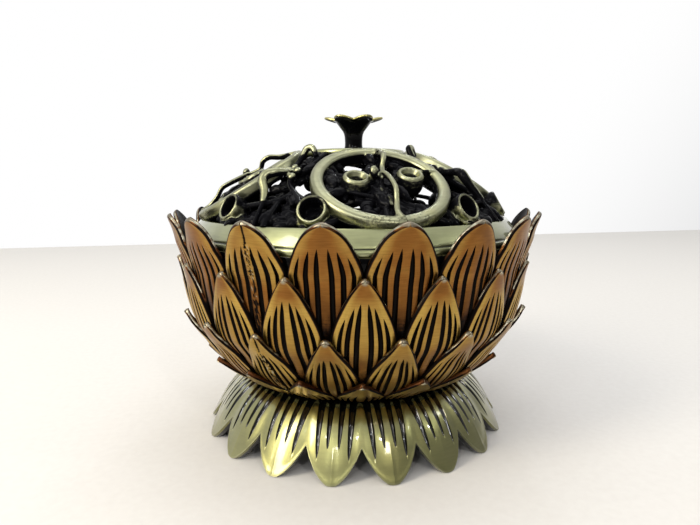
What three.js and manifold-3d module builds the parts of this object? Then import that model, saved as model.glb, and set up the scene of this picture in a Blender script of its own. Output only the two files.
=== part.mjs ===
// Lotus table censer in antiqued cast brass: a petalled foot, a bowl clad in four tiers of lotus petals,
// a loose incense holder on the bowl's floor, and a pierced domed lid with a trumpet-flower knob.
// Millimetres, +Z up. The origin is on the table, under the middle of the foot.
// Azimuth is measured in radians from the front (-Y), towards +X.
import * as THREE from "three";
import { mergeVertices } from "three/addons/utils/BufferGeometryUtils.js";
import Module from "manifold-3d";

const wasm = await Module();
wasm.setup();

// Shared sizes
const CLEARANCE = 0.3; // gap between two castings that meet
const PETALS = 18; // petals in each tier, and in the foot
const PITCH = (2 * Math.PI) / PETALS;
const LATHE_STEPS = 36; // facets round a wide turned casting
const NARROW_STEPS = 24; // facets round a narrow one
const BEVEL = 0.6; // broken edges of screws, cups and small castings

// Foot: a flared skirt that ends in petals and stands on their tips
const FOOT_PETAL_STEPS = 6; // facets across one petal
const FOOT_HEIGHT = 15.5;
const FOOT_NECK_INSET = 0.5; // how far the foot's neck stands back under the bowl's base
const FOOT_TIP_R = 41.2;
const FOOT_WALL = 1.5;
const FOOT_FLARE = 1.9; // power of the skirt's curve, 1 is a cone
const FOOT_NOTCH_Z = 7.2; // height at which neighbouring foot petals part
const FOOT_PETAL_ROUND = 2.2; // power of a foot petal's outline, 2 is a parabola
const FOOT_TIP_SINK = 0.8; // how much of each petal tip is ground away to make it stand flat
const FOOT_CREASE = 0.5; // depth of the valley between two foot petals

// Bowl: a turned shell with a locating spigot under its floor
const BOWL_BASE_R = 28;
const FOOT_NECK_R = BOWL_BASE_R - FOOT_NECK_INSET;
const BOWL_RIM_R = 45.8;
const BOWL_RIM_Z = 52.5;
const BOWL_WALL = 2.2;
const BOWL_FLOOR = 2.6;
const BOWL_FULLNESS = 0.72; // 0 is a cone, 1 is a full round belly
const SPIGOT_R = 5;

// Petal tiers, from the top one down: how far each tip stands below the bowl's rim
const TIER_TIP_BELOW_RIM = [-7.2, 4.1, 17.2, 29];
const TIER_PETAL_STEPS = [6, 4, 4, 4]; // facets across one petal of each tier
const PETAL_THICK = 1;
const PETAL_CREASE = 0.3; // depth of the valley between two petals of a tier
const PETAL_CURL = 0.4; // how far a tip turns out
const PETAL_LAP = 2.4; // how far a tier reaches down behind the tips that cover it
const PETAL_ROW_GAP = 0.45; // least height between two rows of facets at a notch
const TIER_PETAL_ROUND = [1.9, 1.35, 1.35, 1.35]; // power of each tier's outline, 1 is straight-sided
const TOP_TIER_FLARE = 2.9; // how far the top tier's tips lean out past the rim
const TOP_TIER_FLARE_FROM = 6.5; // where that lean starts, below the rim
const TOP_TIER_FLARE_CURVE = 1.3; // power of that lean, 1 is straight
const PETAL_TIP_ROOM = 2.5; // length of the plain tip above a tier's last bend
const HEM = 0.5; // height of the lowest tier's edge above the bowl's underside
const LOWEST_NOTCH = 1; // height of the lowest tier's notches above that edge

// Foot screw and its washer
const SCREW_STEPS = 18; // facets round a screw or a washer
const SLOT_WIDTH = 0.25; // of a screw head's radius
const SLOT_DEPTH = 0.4; // of a screw head's height
const FOOT_SCREW_R = 2;
const FOOT_SCREW_HEAD_R = 3.8;
const FOOT_SCREW_HEAD = 2.4;
const FOOT_WASHER_R = 9;
const FOOT_WASHER_THICK = 1;
const SCREW_REACH = 1.9; // how deep the foot screw goes into the bowl's floor

// Incense holder
const HOLDER_R = 16;
const HOLDER_PLATE = 1.6;
const HOLDER_BOSS_R = 8;
const HOLDER_HEIGHT = 8;
const STICK_HOLE_STEPS = 8; // facets round a stick hole
const STICK_HOLE_R = 1.3;
const STICK_HOLE_DEPTH = 5;
const STICK_RING_R = 5.2;
const STICK_RING_HOLES = 8;
const HOLDER_FILLET = 1.2; // between the plate and its boss
const HOLDER_BEVEL = 1;

// Lid rim: a flange on the bowl's rim, a spigot inside it and a sloping band above it
const LID_FLANGE_INSET = 0.4; // how far the flange stands back from the edge of the bowl's rim
const LID_FLANGE_R = BOWL_RIM_R - LID_FLANGE_INSET;
const LID_FLANGE_THICK = 1.4;
const LID_SPIGOT_DROP = 2.6;
const LID_WALL = 2.2;
const LID_BAND_STEP = 1.1; // how far the band stands back from the flange's edge
const LID_BAND_RISE = 4;
const LID_BAND_LEAN = 2.6;
const LID_BAND_TOP = 1.3; // width of the band's flat top
const LID_BAND_EDGE = 0.4; // bevel round that top

// Lid crown: the small disc at the top of the dome
const CROWN_R = 14.2;
const CROWN_RISE = 18; // height of the crown's edge above the top of the band
const CROWN_THICK = 1.4;
const CROWN_BEAD = 0.7; // how far the edge bead stands above the disc
const CROWN_BEAD_WIDTH = 1.8;
const CROWN_BOSS_R = 4.2;
const CROWN_BOSS_RISE = 0.9;

// Openwork of the lid
const SIDES = 4; // medallions round the dome, with a spray of vines between each pair
const RING_WIDTH = 2.8;
const RING_DEPTH = 3;
const RING_ROUND = 0.8; // bevel of the ring's outer face
const RING_STEPS = 20;
const ROOT = 1.1; // how deep the roots of the sprays are sunk in the band and the crown
const VINE_R = 0.8;
const TWIG_R = 0.6;
const BEAD_R = 1.15; // in a spray's cluster, grown with the ring
const FLOWER_R = 1.5; // the cluster's middle, grown with the ring
const TENDRIL_R = 1;
const CUP_STEPS = 8; // facets round a cup-shaped blossom
const CUP_LIP = 0.3; // bevel of a cup's edges, of its wall
const MEDALLION_CUP_R = 3.2;
const MEDALLION_CUP_BORE_R = 1.75;
const MEDALLION_CUP_LENGTH = 4.6;
const MEDALLION_CUP_SINK = 0.9; // how far a cup reaches in behind the ring's middle plane
const SPRAY_CUP_R = 3.6;
const SPRAY_CUP_BORE_R = 2.45;
const SPRAY_CUP_LENGTH = 5.4;
const SPRAY_CUP_SINK = 2.7; // how far a cup reaches in behind the dome
const SPRAY_CUP_RISE = THREE.MathUtils.degToRad(30); // how far the mouth of a spray's cup looks up
const CUP_STEM_SIDE = 3.19052; // from the middle of a spray's right cup to the end of its stem, sideways
const CUP_STEM_UP = 1.29615; // and the same up the slope

// Knob and its screw
const KNOB_LOBES = 6;
const KNOB_TURN = THREE.MathUtils.degToRad(17);
const KNOB_STEM_R = 2.35;
const KNOB_FOOT_R = 3.3;
const KNOB_FLOWER_R = 7.9;
const KNOB_STEM_HEIGHT = 4.6;
const KNOB_FLOWER_HEIGHT = 4.4;
const KNOB_LOBE_RISE = 1;
const KNOB_NOTCH = 0.17; // share of the flower's radius lost between two lobes
const KNOB_LIP = 0.8; // thickness of the flower's lip
const KNOB_LIP_EDGE = 0.3; // how far the lip's outer edge is rounded back
const KNOB_LIP_WIDTH = 0.7; // width of the lip's upper face
const KNOB_FOOT_BAND = 0.7; // height of the knob's foot
const KNOB_FOOT_TAPER = 0.2; // how far that foot narrows
const KNOB_FOOT_RISE = 1.3; // height at which the plain stem starts
// Bends of the trumpet: share of the way from stem to lip, and share of the flower's height
const KNOB_OUTSIDE = [
  [0.14, 0.35],
  [0.42, 0.68],
];
const KNOB_INSIDE = [
  [0.3, 0.76],
  [-0.1, 0.35],
];
const KNOB_THROAT = 0.1; // share of the flower's height at the bottom of its throat
const KNOB_SCREW_R = 1.2;
const KNOB_SCREW_HEAD_R = 2.5;
const KNOB_SCREW_HEAD = 1.6;
const KNOB_SCREW_REACH = 2.9; // how deep the screw goes into the knob
const KNOB_WASHER_R = 3.6;
const KNOB_WASHER_THICK = 0.5;

// Finish: one antiqued brass, rubbed bright in places and dark in others
const brass = (hex, roughness) =>
  new THREE.MeshStandardMaterial({ color: hex, roughness, metalness: 0.9 });
const PETAL_BRASS = brass(0x8a6230, 0.38);
const PALE_BRASS = brass(0x9c9a5c, 0.32);
const DARK_BRASS = brass(0x2b2620, 0.35);
const STEEL = brass(0x9a9a96, 0.4);

const censer = new THREE.Group();

// Places a mesh under its name in a group.
function place(group, name, geometry, material) {
  const mesh = new THREE.Mesh(geometry, material);
  mesh.name = name;
  group.add(mesh);
  return mesh;
}

// A point at a radius and height, seen in the direction of an azimuth.
const polar = (azimuth, r, z) =>
  new THREE.Vector3(r * Math.sin(azimuth), -r * Math.cos(azimuth), z);

// Turned body: profile is a closed run of [r, z], anticlockwise with r to the right.
function turned(profile, steps = LATHE_STEPS) {
  return loft(() => profile, steps);
}

// Body swept round the axis from profiles that may change with the azimuth. A profile is a closed run of
// [r, z], anticlockwise with r to the right; where it starts and ends on the axis, it closes there.
function loft(profileAt, steps) {
  const points = [];
  const faces = [];
  const rows = profileAt(0).length;
  for (let i = 0; i < steps; i++) {
    const azimuth = (2 * Math.PI * i) / steps;
    for (const [r, z] of profileAt(azimuth)) points.push(...polar(azimuth, r, z));
  }
  const onAxis = (k) => profileAt(0)[k][0] === 0;
  for (let i = 0; i < steps; i++) {
    const next = (i + 1) % steps;
    for (let k = 0; k < rows; k++) {
      const above = (k + 1) % rows;
      if (onAxis(k) && onAxis(above)) continue;
      const a = i * rows + k;
      const b = next * rows + k;
      const c = next * rows + above;
      const d = i * rows + above;
      if (!onAxis(k)) faces.push(a, b, c);
      if (!onAxis(above)) faces.push(a, c, d);
    }
  }
  const geometry = new THREE.BufferGeometry();
  geometry.setAttribute("position", new THREE.Float32BufferAttribute(points, 3));
  geometry.setIndex(faces);
  return mergeVertices(geometry);
}

// A three.js geometry as a solid that can be joined and cut.
function solid(geometry) {
  const bare = new THREE.BufferGeometry();
  bare.setAttribute("position", geometry.getAttribute("position"));
  bare.setIndex(geometry.index);
  const merged = mergeVertices(bare, 1e-4);
  return new wasm.Manifold(
    new wasm.Mesh({
      numProp: 3,
      vertProperties: new Float32Array(merged.attributes.position.array),
      triVerts: new Uint32Array(merged.index.array),
    }),
  );
}

// The solid back as a geometry.
function geometryOf(body) {
  const mesh = body.getMesh();
  const geometry = new THREE.BufferGeometry();
  geometry.setAttribute("position", new THREE.BufferAttribute(new Float32Array(mesh.vertProperties), 3));
  geometry.setIndex(new THREE.BufferAttribute(new Uint32Array(mesh.triVerts), 1));
  return geometry;
}

const joined = (bodies) => bodies.reduce((all, body) => all.add(body));
const without = (body, cutters) => cutters.reduce((left, cutter) => left.subtract(cutter), body);

// Plain cylinder along Z, from one height to another.
function rod(radius, from, to, steps) {
  return turned([[0, from], [radius, from], [radius, to], [0, to]], steps);
}

// How far an azimuth is from the middle of its petal, as a share of half a pitch.
function petalShare(azimuth, firstPetal) {
  const turns = (azimuth - firstPetal) / PITCH;
  return Math.abs(turns - Math.round(turns)) * 2;
}

// Foot
const footHeightAt = (r) =>
  FOOT_HEIGHT * (1 - ((r - FOOT_NECK_R) / (FOOT_TIP_R - FOOT_NECK_R)) ** FOOT_FLARE);
const footRadiusAt = (z) =>
  FOOT_NECK_R + (FOOT_TIP_R - FOOT_NECK_R) * (1 - z / FOOT_HEIGHT) ** (1 / FOOT_FLARE);
// Steepness of the skirt at a radius, as an angle from horizontal.
function footSlopeAt(r) {
  const width = FOOT_TIP_R - FOOT_NECK_R;
  return Math.atan(((FOOT_HEIGHT * FOOT_FLARE) / width) * ((r - FOOT_NECK_R) / width) ** (FOOT_FLARE - 1));
}

function footSkirt() {
  const rows = 2;
  const hole = SPIGOT_R + CLEARANCE;
  const profileAt = (azimuth) => {
    const share = petalShare(azimuth, 0);
    const edgeZ = Math.max(0, THREE.MathUtils.lerp(-FOOT_TIP_SINK, FOOT_NOTCH_Z, share ** FOOT_PETAL_ROUND));
    const edgeR = footRadiusAt(edgeZ);
    const creaseAt = (along) => FOOT_CREASE * share ** 2 * (1 - along);
    const outer = [[edgeR - creaseAt(0), edgeZ]];
    const inner = [[edgeR - FOOT_WALL / Math.sin(footSlopeAt(edgeR)), edgeZ]];
    for (let k = 1; k <= rows; k++) {
      const along = k / rows;
      const r = edgeR + (FOOT_NECK_R - edgeR) * along;
      const slope = footSlopeAt(r);
      const under = (depth) => [r - depth * Math.sin(slope), footHeightAt(r) - depth * Math.cos(slope)];
      outer.push(under(creaseAt(along)));
      inner.unshift(under(FOOT_WALL));
    }
    return [...outer, [hole, FOOT_HEIGHT], [hole, FOOT_HEIGHT - FOOT_WALL], ...inner];
  };
  return loft(profileAt, PETALS * FOOT_PETAL_STEPS);
}

// Heights of the petal tiers: their tips, the notches between petals, and their hidden lower edges.
const tierTipZ = TIER_TIP_BELOW_RIM.map((drop) => BOWL_RIM_Z - drop);
const lowestHemZ = FOOT_HEIGHT + HEM;
const tierNotchZ = [...tierTipZ.slice(1), lowestHemZ + LOWEST_NOTCH];
const tierHemZ = tierTipZ.map((z, i) => (i < 2 ? tierTipZ[i + 2] - PETAL_LAP : lowestHemZ));

// Bowl. Its wall bends only at these heights, and so do the tiers that lie on it.
const LEAN_FROM_Z = BOWL_RIM_Z - TOP_TIER_FLARE_FROM;
const UNDER_UPPER_HEM = tierHemZ[1] - CLEARANCE;
const UNDER_TOP_HEM = tierHemZ[0] - CLEARANCE;
const BENDS = [
  FOOT_HEIGHT,
  UNDER_UPPER_HEM,
  (UNDER_UPPER_HEM + UNDER_TOP_HEM) / 2,
  UNDER_TOP_HEM,
  (UNDER_TOP_HEM + LEAN_FROM_Z) / 2,
  LEAN_FROM_Z,
  BOWL_RIM_Z,
];
function bowlCurveAt(z) {
  const up = (z - FOOT_HEIGHT) / (BOWL_RIM_Z - FOOT_HEIGHT);
  const belly = 1 - (1 - up) ** 4;
  return BOWL_BASE_R + (BOWL_RIM_R - BOWL_BASE_R) * (BOWL_FULLNESS * belly + (1 - BOWL_FULLNESS) * up);
}
function bowlRadiusAt(z) {
  const held = THREE.MathUtils.clamp(z, FOOT_HEIGHT, BOWL_RIM_Z);
  const above = Math.max(1, BENDS.findIndex((bend) => bend >= held));
  const [low, high] = [BENDS[above - 1], BENDS[above]];
  return THREE.MathUtils.lerp(bowlCurveAt(low), bowlCurveAt(high), (held - low) / (high - low));
}
const BOWL_FLOOR_Z = FOOT_HEIGHT + BOWL_FLOOR;
// The spigot ends short of the foot plate's underside, so the screw clamps the plate.
const SPIGOT_Z = FOOT_HEIGHT - FOOT_WALL + CLEARANCE;
const BOWL_MOUTH_R = BOWL_RIM_R - BOWL_WALL;

function bowlShell() {
  const outer = BENDS.map((z) => [bowlRadiusAt(z), z]);
  const inside = [BOWL_FLOOR_Z, ...BENDS.filter((z) => z > BOWL_FLOOR_Z)];
  const inner = inside.map((z) => [bowlRadiusAt(z) - BOWL_WALL, z]);
  const bore = FOOT_SCREW_R + CLEARANCE;
  const boreTop = FOOT_HEIGHT + SCREW_REACH;
  return turned([
    [0, boreTop],
    [bore, boreTop],
    [bore, SPIGOT_Z],
    [SPIGOT_R, SPIGOT_Z],
    [SPIGOT_R, FOOT_HEIGHT],
    ...outer,
    ...inner.reverse(),
    [0, BOWL_FLOOR_Z],
  ]);
}

// Petal tiers. A tier lies on the shell and steps out over the hems of the tiers that it covers.
const LAYER = PETAL_THICK + CLEARANCE;
const hemSteps = [
  [BENDS[2], UNDER_TOP_HEM],
  [FOOT_HEIGHT, UNDER_UPPER_HEM],
];

function layersAt(tier, z) {
  let layers = 1;
  for (let inner = 0; inner < tier; inner++) {
    const step = hemSteps[inner];
    layers += step ? THREE.MathUtils.clamp((z - step[0]) / (step[1] - step[0]), 0, 1) : 1;
  }
  return layers;
}

function tierRadiusAt(tier, z) {
  const past = Math.max(0, (z - LEAN_FROM_Z) / (tierTipZ[0] - LEAN_FROM_Z));
  const lean = tier === 0 ? TOP_TIER_FLARE * past ** TOP_TIER_FLARE_CURVE : 0;
  return bowlRadiusAt(z) + LAYER * layersAt(tier, z) + lean;
}

function petalTier(tier) {
  const firstPetal = (tier % 2) * (PITCH / 2);
  const bends = BENDS.filter((z) => z > tierHemZ[tier] && z < tierTipZ[tier] - PETAL_TIP_ROOM);
  const rowZ = [tierHemZ[tier], ...bends];
  if (tier === 0) rowZ.pop(); // the lean runs straight past the rim
  const profileAt = (azimuth) => {
    const share = petalShare(azimuth, firstPetal);
    const edgeZ = THREE.MathUtils.lerp(tierTipZ[tier], tierNotchZ[tier], share ** TIER_PETAL_ROUND[tier]);
    const heights = rowZ.map((z, k) => Math.min(z, edgeZ - (rowZ.length - k) * PETAL_ROW_GAP));
    const crease = PETAL_CREASE * share ** 2;
    const outer = heights.map((z) => [tierRadiusAt(tier, z) - crease, z]);
    const inner = heights.map((z) => [tierRadiusAt(tier, z) - PETAL_THICK, z]);
    const edgeR = tierRadiusAt(tier, edgeZ) + PETAL_CURL * (1 - share);
    return [...outer, [edgeR - crease, edgeZ], [edgeR - PETAL_THICK, edgeZ], ...inner.reverse()];
  };
  return loft(profileAt, PETALS * TIER_PETAL_STEPS[tier]);
}

// Incense holder
function incenseHolder() {
  const top = BOWL_FLOOR_Z + HOLDER_HEIGHT;
  const plateTop = BOWL_FLOOR_Z + HOLDER_PLATE;
  const body = solid(
    turned(
      [
        [0, BOWL_FLOOR_Z],
        [HOLDER_R, BOWL_FLOOR_Z],
        [HOLDER_R, plateTop],
        [HOLDER_BOSS_R + HOLDER_FILLET, plateTop],
        [HOLDER_BOSS_R, plateTop + HOLDER_FILLET],
        [HOLDER_BOSS_R, top - HOLDER_BEVEL],
        [HOLDER_BOSS_R - HOLDER_BEVEL, top],
        [0, top],
      ],
      NARROW_STEPS,
    ),
  );
  const hole = () => rod(STICK_HOLE_R, top - STICK_HOLE_DEPTH, top + HOLDER_BEVEL, STICK_HOLE_STEPS);
  const holes = [solid(hole())];
  for (let i = 0; i < STICK_RING_HOLES; i++) {
    const at = polar((2 * Math.PI * i) / STICK_RING_HOLES, STICK_RING_R, 0);
    holes.push(solid(hole().translate(at.x, at.y, 0)));
  }
  return geometryOf(without(body, holes));
}

// Lid rim. Every height of the lid follows from the bowl's rim, on which its flange rests.
const LID_SPIGOT_R = BOWL_MOUTH_R - 2 * CLEARANCE;
const LID_BAND_BOTTOM_R = LID_FLANGE_R - LID_BAND_STEP;
const LID_BAND_TOP_R = LID_BAND_BOTTOM_R - LID_BAND_LEAN;
const LID_FLANGE_Z = BOWL_RIM_Z + LID_FLANGE_THICK;
const LID_TOP_Z = LID_FLANGE_Z + LID_BAND_RISE;
const LID_MOUTH_R = Math.min(LID_SPIGOT_R - LID_WALL, LID_BAND_TOP_R - LID_BAND_TOP);

// grow widens the same profile all round, which makes the cutter for what meets the rim.
function lidRim(grow = 0) {
  return turned([
    [LID_MOUTH_R - grow, BOWL_RIM_Z - LID_SPIGOT_DROP - grow],
    [LID_SPIGOT_R + grow, BOWL_RIM_Z - LID_SPIGOT_DROP - grow],
    [LID_SPIGOT_R + grow, BOWL_RIM_Z - grow],
    [LID_FLANGE_R + grow, BOWL_RIM_Z - grow],
    [LID_FLANGE_R + grow, LID_FLANGE_Z + grow],
    [LID_BAND_BOTTOM_R + grow, LID_FLANGE_Z + grow],
    [LID_BAND_TOP_R + grow, LID_TOP_Z - LID_BAND_EDGE + grow],
    [LID_BAND_TOP_R - LID_BAND_EDGE + grow, LID_TOP_Z + grow],
    [LID_MOUTH_R - grow, LID_TOP_Z + grow],
  ]);
}

// Lid crown
const CROWN_EDGE_Z = LID_TOP_Z + CROWN_RISE;
const CROWN_DISC_Z = CROWN_EDGE_Z - CROWN_BEAD;
const CROWN_UNDER_Z = CROWN_DISC_Z - CROWN_THICK;
const CROWN_BOSS_Z = CROWN_DISC_Z + CROWN_BOSS_RISE;

function lidCrown(grow = 0) {
  const bore = KNOB_SCREW_R + CLEARANCE;
  const inside = grow ? 0 : bore;
  return turned(
    [
      [inside, CROWN_UNDER_Z - grow],
      [CROWN_R - BEVEL + grow, CROWN_UNDER_Z - grow],
      [CROWN_R + grow, CROWN_UNDER_Z + BEVEL - grow],
      [CROWN_R + grow, CROWN_EDGE_Z - BEVEL + grow],
      [CROWN_R - BEVEL + grow, CROWN_EDGE_Z + grow],
      [CROWN_R - CROWN_BEAD_WIDTH, CROWN_EDGE_Z + grow],
      [CROWN_R - CROWN_BEAD_WIDTH - CROWN_BEAD, CROWN_DISC_Z + grow],
      [CROWN_BOSS_R + BEVEL, CROWN_DISC_Z + grow],
      [CROWN_BOSS_R, CROWN_BOSS_Z + grow],
      [inside, CROWN_BOSS_Z + grow],
    ],
    NARROW_STEPS,
  );
}

// The dome between band and crown is a cone. Its mid-height line carries the medallions and sprays.
const DOME_FOOT = new THREE.Vector2(LID_BAND_TOP_R, LID_TOP_Z);
const DOME_HEAD = new THREE.Vector2(CROWN_R, (CROWN_EDGE_Z + CROWN_UNDER_Z) / 2);
const DOME_MIDDLE = DOME_FOOT.clone().add(DOME_HEAD).multiplyScalar(0.5);
const DOME_SLOPE = Math.atan2(DOME_HEAD.y - DOME_FOOT.y, DOME_FOOT.x - DOME_HEAD.x);
const DOME_SLANT = DOME_FOOT.distanceTo(DOME_HEAD);
const RING_R = DOME_SLANT / 2; // outer radius of a medallion's ring, which spans from band to crown

// The frame of a medallion: x to its right, y up the dome and z out of it.
function medallionFrame(azimuth) {
  const across = new THREE.Vector3(Math.cos(azimuth), Math.sin(azimuth), 0);
  const up = polar(azimuth, -Math.cos(DOME_SLOPE), Math.sin(DOME_SLOPE));
  const out = polar(azimuth, Math.sin(DOME_SLOPE), Math.cos(DOME_SLOPE));
  return new THREE.Matrix4()
    .makeBasis(across, up, out)
    .setPosition(polar(azimuth, DOME_MIDDLE.x, DOME_MIDDLE.y));
}

// The same for a spray, but bent round the dome: side is an arc, at the radius where the point lies.
function sprayPoint(azimuth, side, up, out) {
  const r = DOME_MIDDLE.x - up * Math.cos(DOME_SLOPE);
  const z = DOME_MIDDLE.y + up * Math.sin(DOME_SLOPE);
  return polar(azimuth + side / r, r + out * Math.sin(DOME_SLOPE), z + out * Math.cos(DOME_SLOPE));
}

// Round stem along a smooth curve through the points.
function stem(points, radius, steps, sides = 5) {
  const section = new THREE.Shape(
    Array.from({ length: sides }, (_, i) => {
      const turn = (2 * Math.PI * i) / sides;
      return new THREE.Vector2(radius * Math.cos(turn), radius * Math.sin(turn));
    }),
  );
  const extrudePath = new THREE.CatmullRomCurve3(points);
  return solid(new THREE.ExtrudeGeometry(section, { steps, extrudePath }));
}

// Bead, bud or leaf: a ball stretched to three half-sizes.
function ball(centre, halfSizes, turn = 0) {
  const geometry = new THREE.SphereGeometry(1, 6, 4);
  geometry.scale(...halfSizes);
  geometry.rotateZ(turn);
  geometry.translate(...centre);
  return geometry;
}

// Short open tube that stands along +Z with its mouth up, sunk below z = 0.
function cup(radius, bore, length, sink) {
  const lip = (radius - bore) * CUP_LIP;
  return turned(
    [
      [bore, -sink],
      [radius - lip, -sink],
      [radius, -sink + length - lip],
      [radius - lip, -sink + length],
      [bore + lip, -sink + length],
      [bore, -sink + length - lip],
    ],
    CUP_STEPS,
  );
}

// Flat-faced ring of a medallion, lying in its frame's plane.
function medallionRing(grow = 0) {
  const half = RING_DEPTH / 2;
  const inside = RING_R - RING_WIDTH;
  return turned(
    [
      [inside - grow, -half - grow],
      [RING_R + grow, -half - grow],
      [RING_R + grow, half - RING_ROUND + grow],
      [RING_R - RING_ROUND + grow, half + grow],
      [inside + RING_ROUND - grow, half + grow],
      [inside - grow, half - RING_ROUND + grow],
    ],
    RING_STEPS,
  );
}

// The places and balls of the motifs are drawn for a ring of radius 16.2, and grow with the ring.
const DRAWN = RING_R / 16.2;

// Medallion: the ring, an S-shaped stem across it, two cups, a bud and leaves. Places are in its frame.
function medallionBody(azimuth) {
  const at = (x, y, z) => new THREE.Vector3(x, y, z).multiplyScalar(DRAWN);
  // The middle of the ring's own width: above (+1) or below (-1) at x, and left (-1) or right (+1) at y.
  const edge = (RING_R - RING_WIDTH / 2) / DRAWN;
  const onRingAt = (x, above) => at(x, above * Math.sqrt(edge ** 2 - x ** 2), 0);
  const onRing = (y, side) => at(side * Math.sqrt(edge ** 2 - y ** 2), y, 0);
  const ballAt = (centre, halfSizes, turn) =>
    solid(ball(centre.toArray(), halfSizes.map((half) => half * DRAWN), turn));
  const medallionCup = (centre) => {
    const upright = cup(MEDALLION_CUP_R, MEDALLION_CUP_BORE_R, MEDALLION_CUP_LENGTH, MEDALLION_CUP_SINK);
    return solid(upright.translate(...centre));
  };
  const parts = [
    solid(medallionRing()),
    stem(
      [
        onRingAt(2.2, 1),
        at(2.3, 12, 2.6),
        at(1.8, 8, 4),
        at(1, 4.4, 3.2),
        at(0.7, 0.2, 3.3),
        at(1.4, -4.5, 4.3),
        at(1.1, -9.3, 4),
        at(0.7, -12.6, 2.4),
        onRingAt(1.3, -1),
      ],
      VINE_R,
      14,
    ),
    medallionCup(at(-6.3, -1, 0)),
    medallionCup(at(7.1, 0.5, 0)),
    stem([at(-3.9, -0.8, 0.4), at(-1.6, 0, 1.6), at(0.7, 0.2, 3)], TWIG_R, 2),
    stem([at(4.6, 0.3, 0.4), at(2.8, 0, 1.6), at(0.9, -0.4, 3)], TWIG_R, 2),
    stem([at(9.6, 0.9, 0.8), onRing(3.9, 1)], TWIG_R, 1),
    stem([at(-0.2, -2.4, 0.6), at(0.1, -0.8, 1.8), at(0.6, 0, 3)], TWIG_R, 2),
    stem([at(-1, -9, 0.4), onRingAt(-1.4, -1)], TWIG_R, 1),
    stem([at(-9, -2, 0.2), at(-1.4, -6, 0.4)], TWIG_R, 1),
    ballAt(at(-0.7, -5.4, 0.5), [1.9, 4.4, 1.7]),
    ballAt(at(4.6, -3.2, 0.6), [1.4, 3.4, 1.3], 0.2),
    ballAt(at(-10.8, -0.6, 0.2), [3.2, 2.2, 1.3]),
  ];
  return joined(parts).transform(medallionFrame(azimuth).elements);
}

// Spray: two cups by the band, an arched tendril, a cluster of beads, a leaf, and stems to band and crown.
function sprayBody(azimuth) {
  const at = (side, up, out) => sprayPoint(azimuth, side * DRAWN, up * DRAWN, out * DRAWN);
  const sprayCup = (side, up) => {
    const centre = at(side, up, 0);
    const turn = Math.atan2(centre.x, -centre.y);
    const mouth = polar(turn, Math.cos(SPRAY_CUP_RISE), Math.sin(SPRAY_CUP_RISE));
    const standing = new THREE.Quaternion().setFromUnitVectors(new THREE.Vector3(0, 0, 1), mouth);
    const upright = cup(SPRAY_CUP_R, SPRAY_CUP_BORE_R, SPRAY_CUP_LENGTH, SPRAY_CUP_SINK);
    return solid(upright.applyQuaternion(standing).translate(...centre));
  };
  const bead = (side, up, out, radius = BEAD_R) => {
    const grown = radius * DRAWN;
    return solid(ball(at(side, up, out).toArray(), [grown, grown, grown]));
  };
  const head = RING_R / DRAWN;
  const foot = -head;
  const root = ROOT / DRAWN;
  const cupSide = 12.4;
  const cupUp = -10.9;
  const atRightCup = at(cupSide - CUP_STEM_SIDE / DRAWN, cupUp + CUP_STEM_UP / DRAWN, 0.4);
  const parts = [
    sprayCup(-10.4, cupUp),
    sprayCup(cupSide, cupUp),
    stem(
      [
        at(-0.5, -9.7, 1.9),
        at(-1.5, -7, 3),
        at(-3, -4.7, 4),
        at(-2.6, -2.9, 4.4),
        at(-0.4, -0.9, 3.6),
        at(-1.3, 2.4, 2.2),
      ],
      TENDRIL_R,
      7,
    ),
    stem([at(-0.5, -9.5, 1.8), at(0, foot, -root)], VINE_R, 1),
    stem([at(-0.6, -9.6, 1.6), at(-4.5, -9.6, 1), at(-7.6, -10, 0.6)], VINE_R, 2),
    stem([at(-1.3, 2.4, 1.8), at(1.4, -1.2, 1.3), at(3.7, -3.9, 1), atRightCup], VINE_R, 4),
    stem([at(3.7, -3.9, 1), at(2.6, -6.8, 1), at(-0.4, -9.5, 1.4)], VINE_R, 2),
    stem([at(2, -7.6, 0.8), at(2.5, -12.9, 0.3), at(2.9, foot, -root)], VINE_R, 2),
    stem([at(-1.3, 2.4, 1.8), at(-2.6, 5.8, 1.2), at(-3.2, 9.2, 1), at(-1.2, head + root, -0.2)], VINE_R, 4),
    stem([at(-1, 2.6, 1.4), at(0.8, 4.4, 0.6), at(0.9, 9.3, 0.5), at(0.8, head + root, -0.2)], VINE_R, 4),
    stem([at(-2.9, 10.6, 1), at(-2.4, 13, 2.8), at(-0.6, 13.4, 2.8), at(0.8, 12.2, 0.6)], VINE_R, 4),
    bead(-1.3, 2.6, 2.4, FLOWER_R),
    bead(0.7, 0.8, 2),
    bead(0.6, 3.6, 1.9),
    bead(-1.1, 5, 1.9),
    bead(-3.1, 3.8, 1.9),
  ];
  return joined(parts);
}

// Knob: a stem that opens into a trumpet flower with lobes round its lip.
const KNOB_Z = CROWN_BOSS_Z;
const KNOB_FLOWER_Z = KNOB_Z + KNOB_STEM_HEIGHT;
const KNOB_LIP_Z = KNOB_FLOWER_Z + KNOB_FLOWER_HEIGHT;

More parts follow.
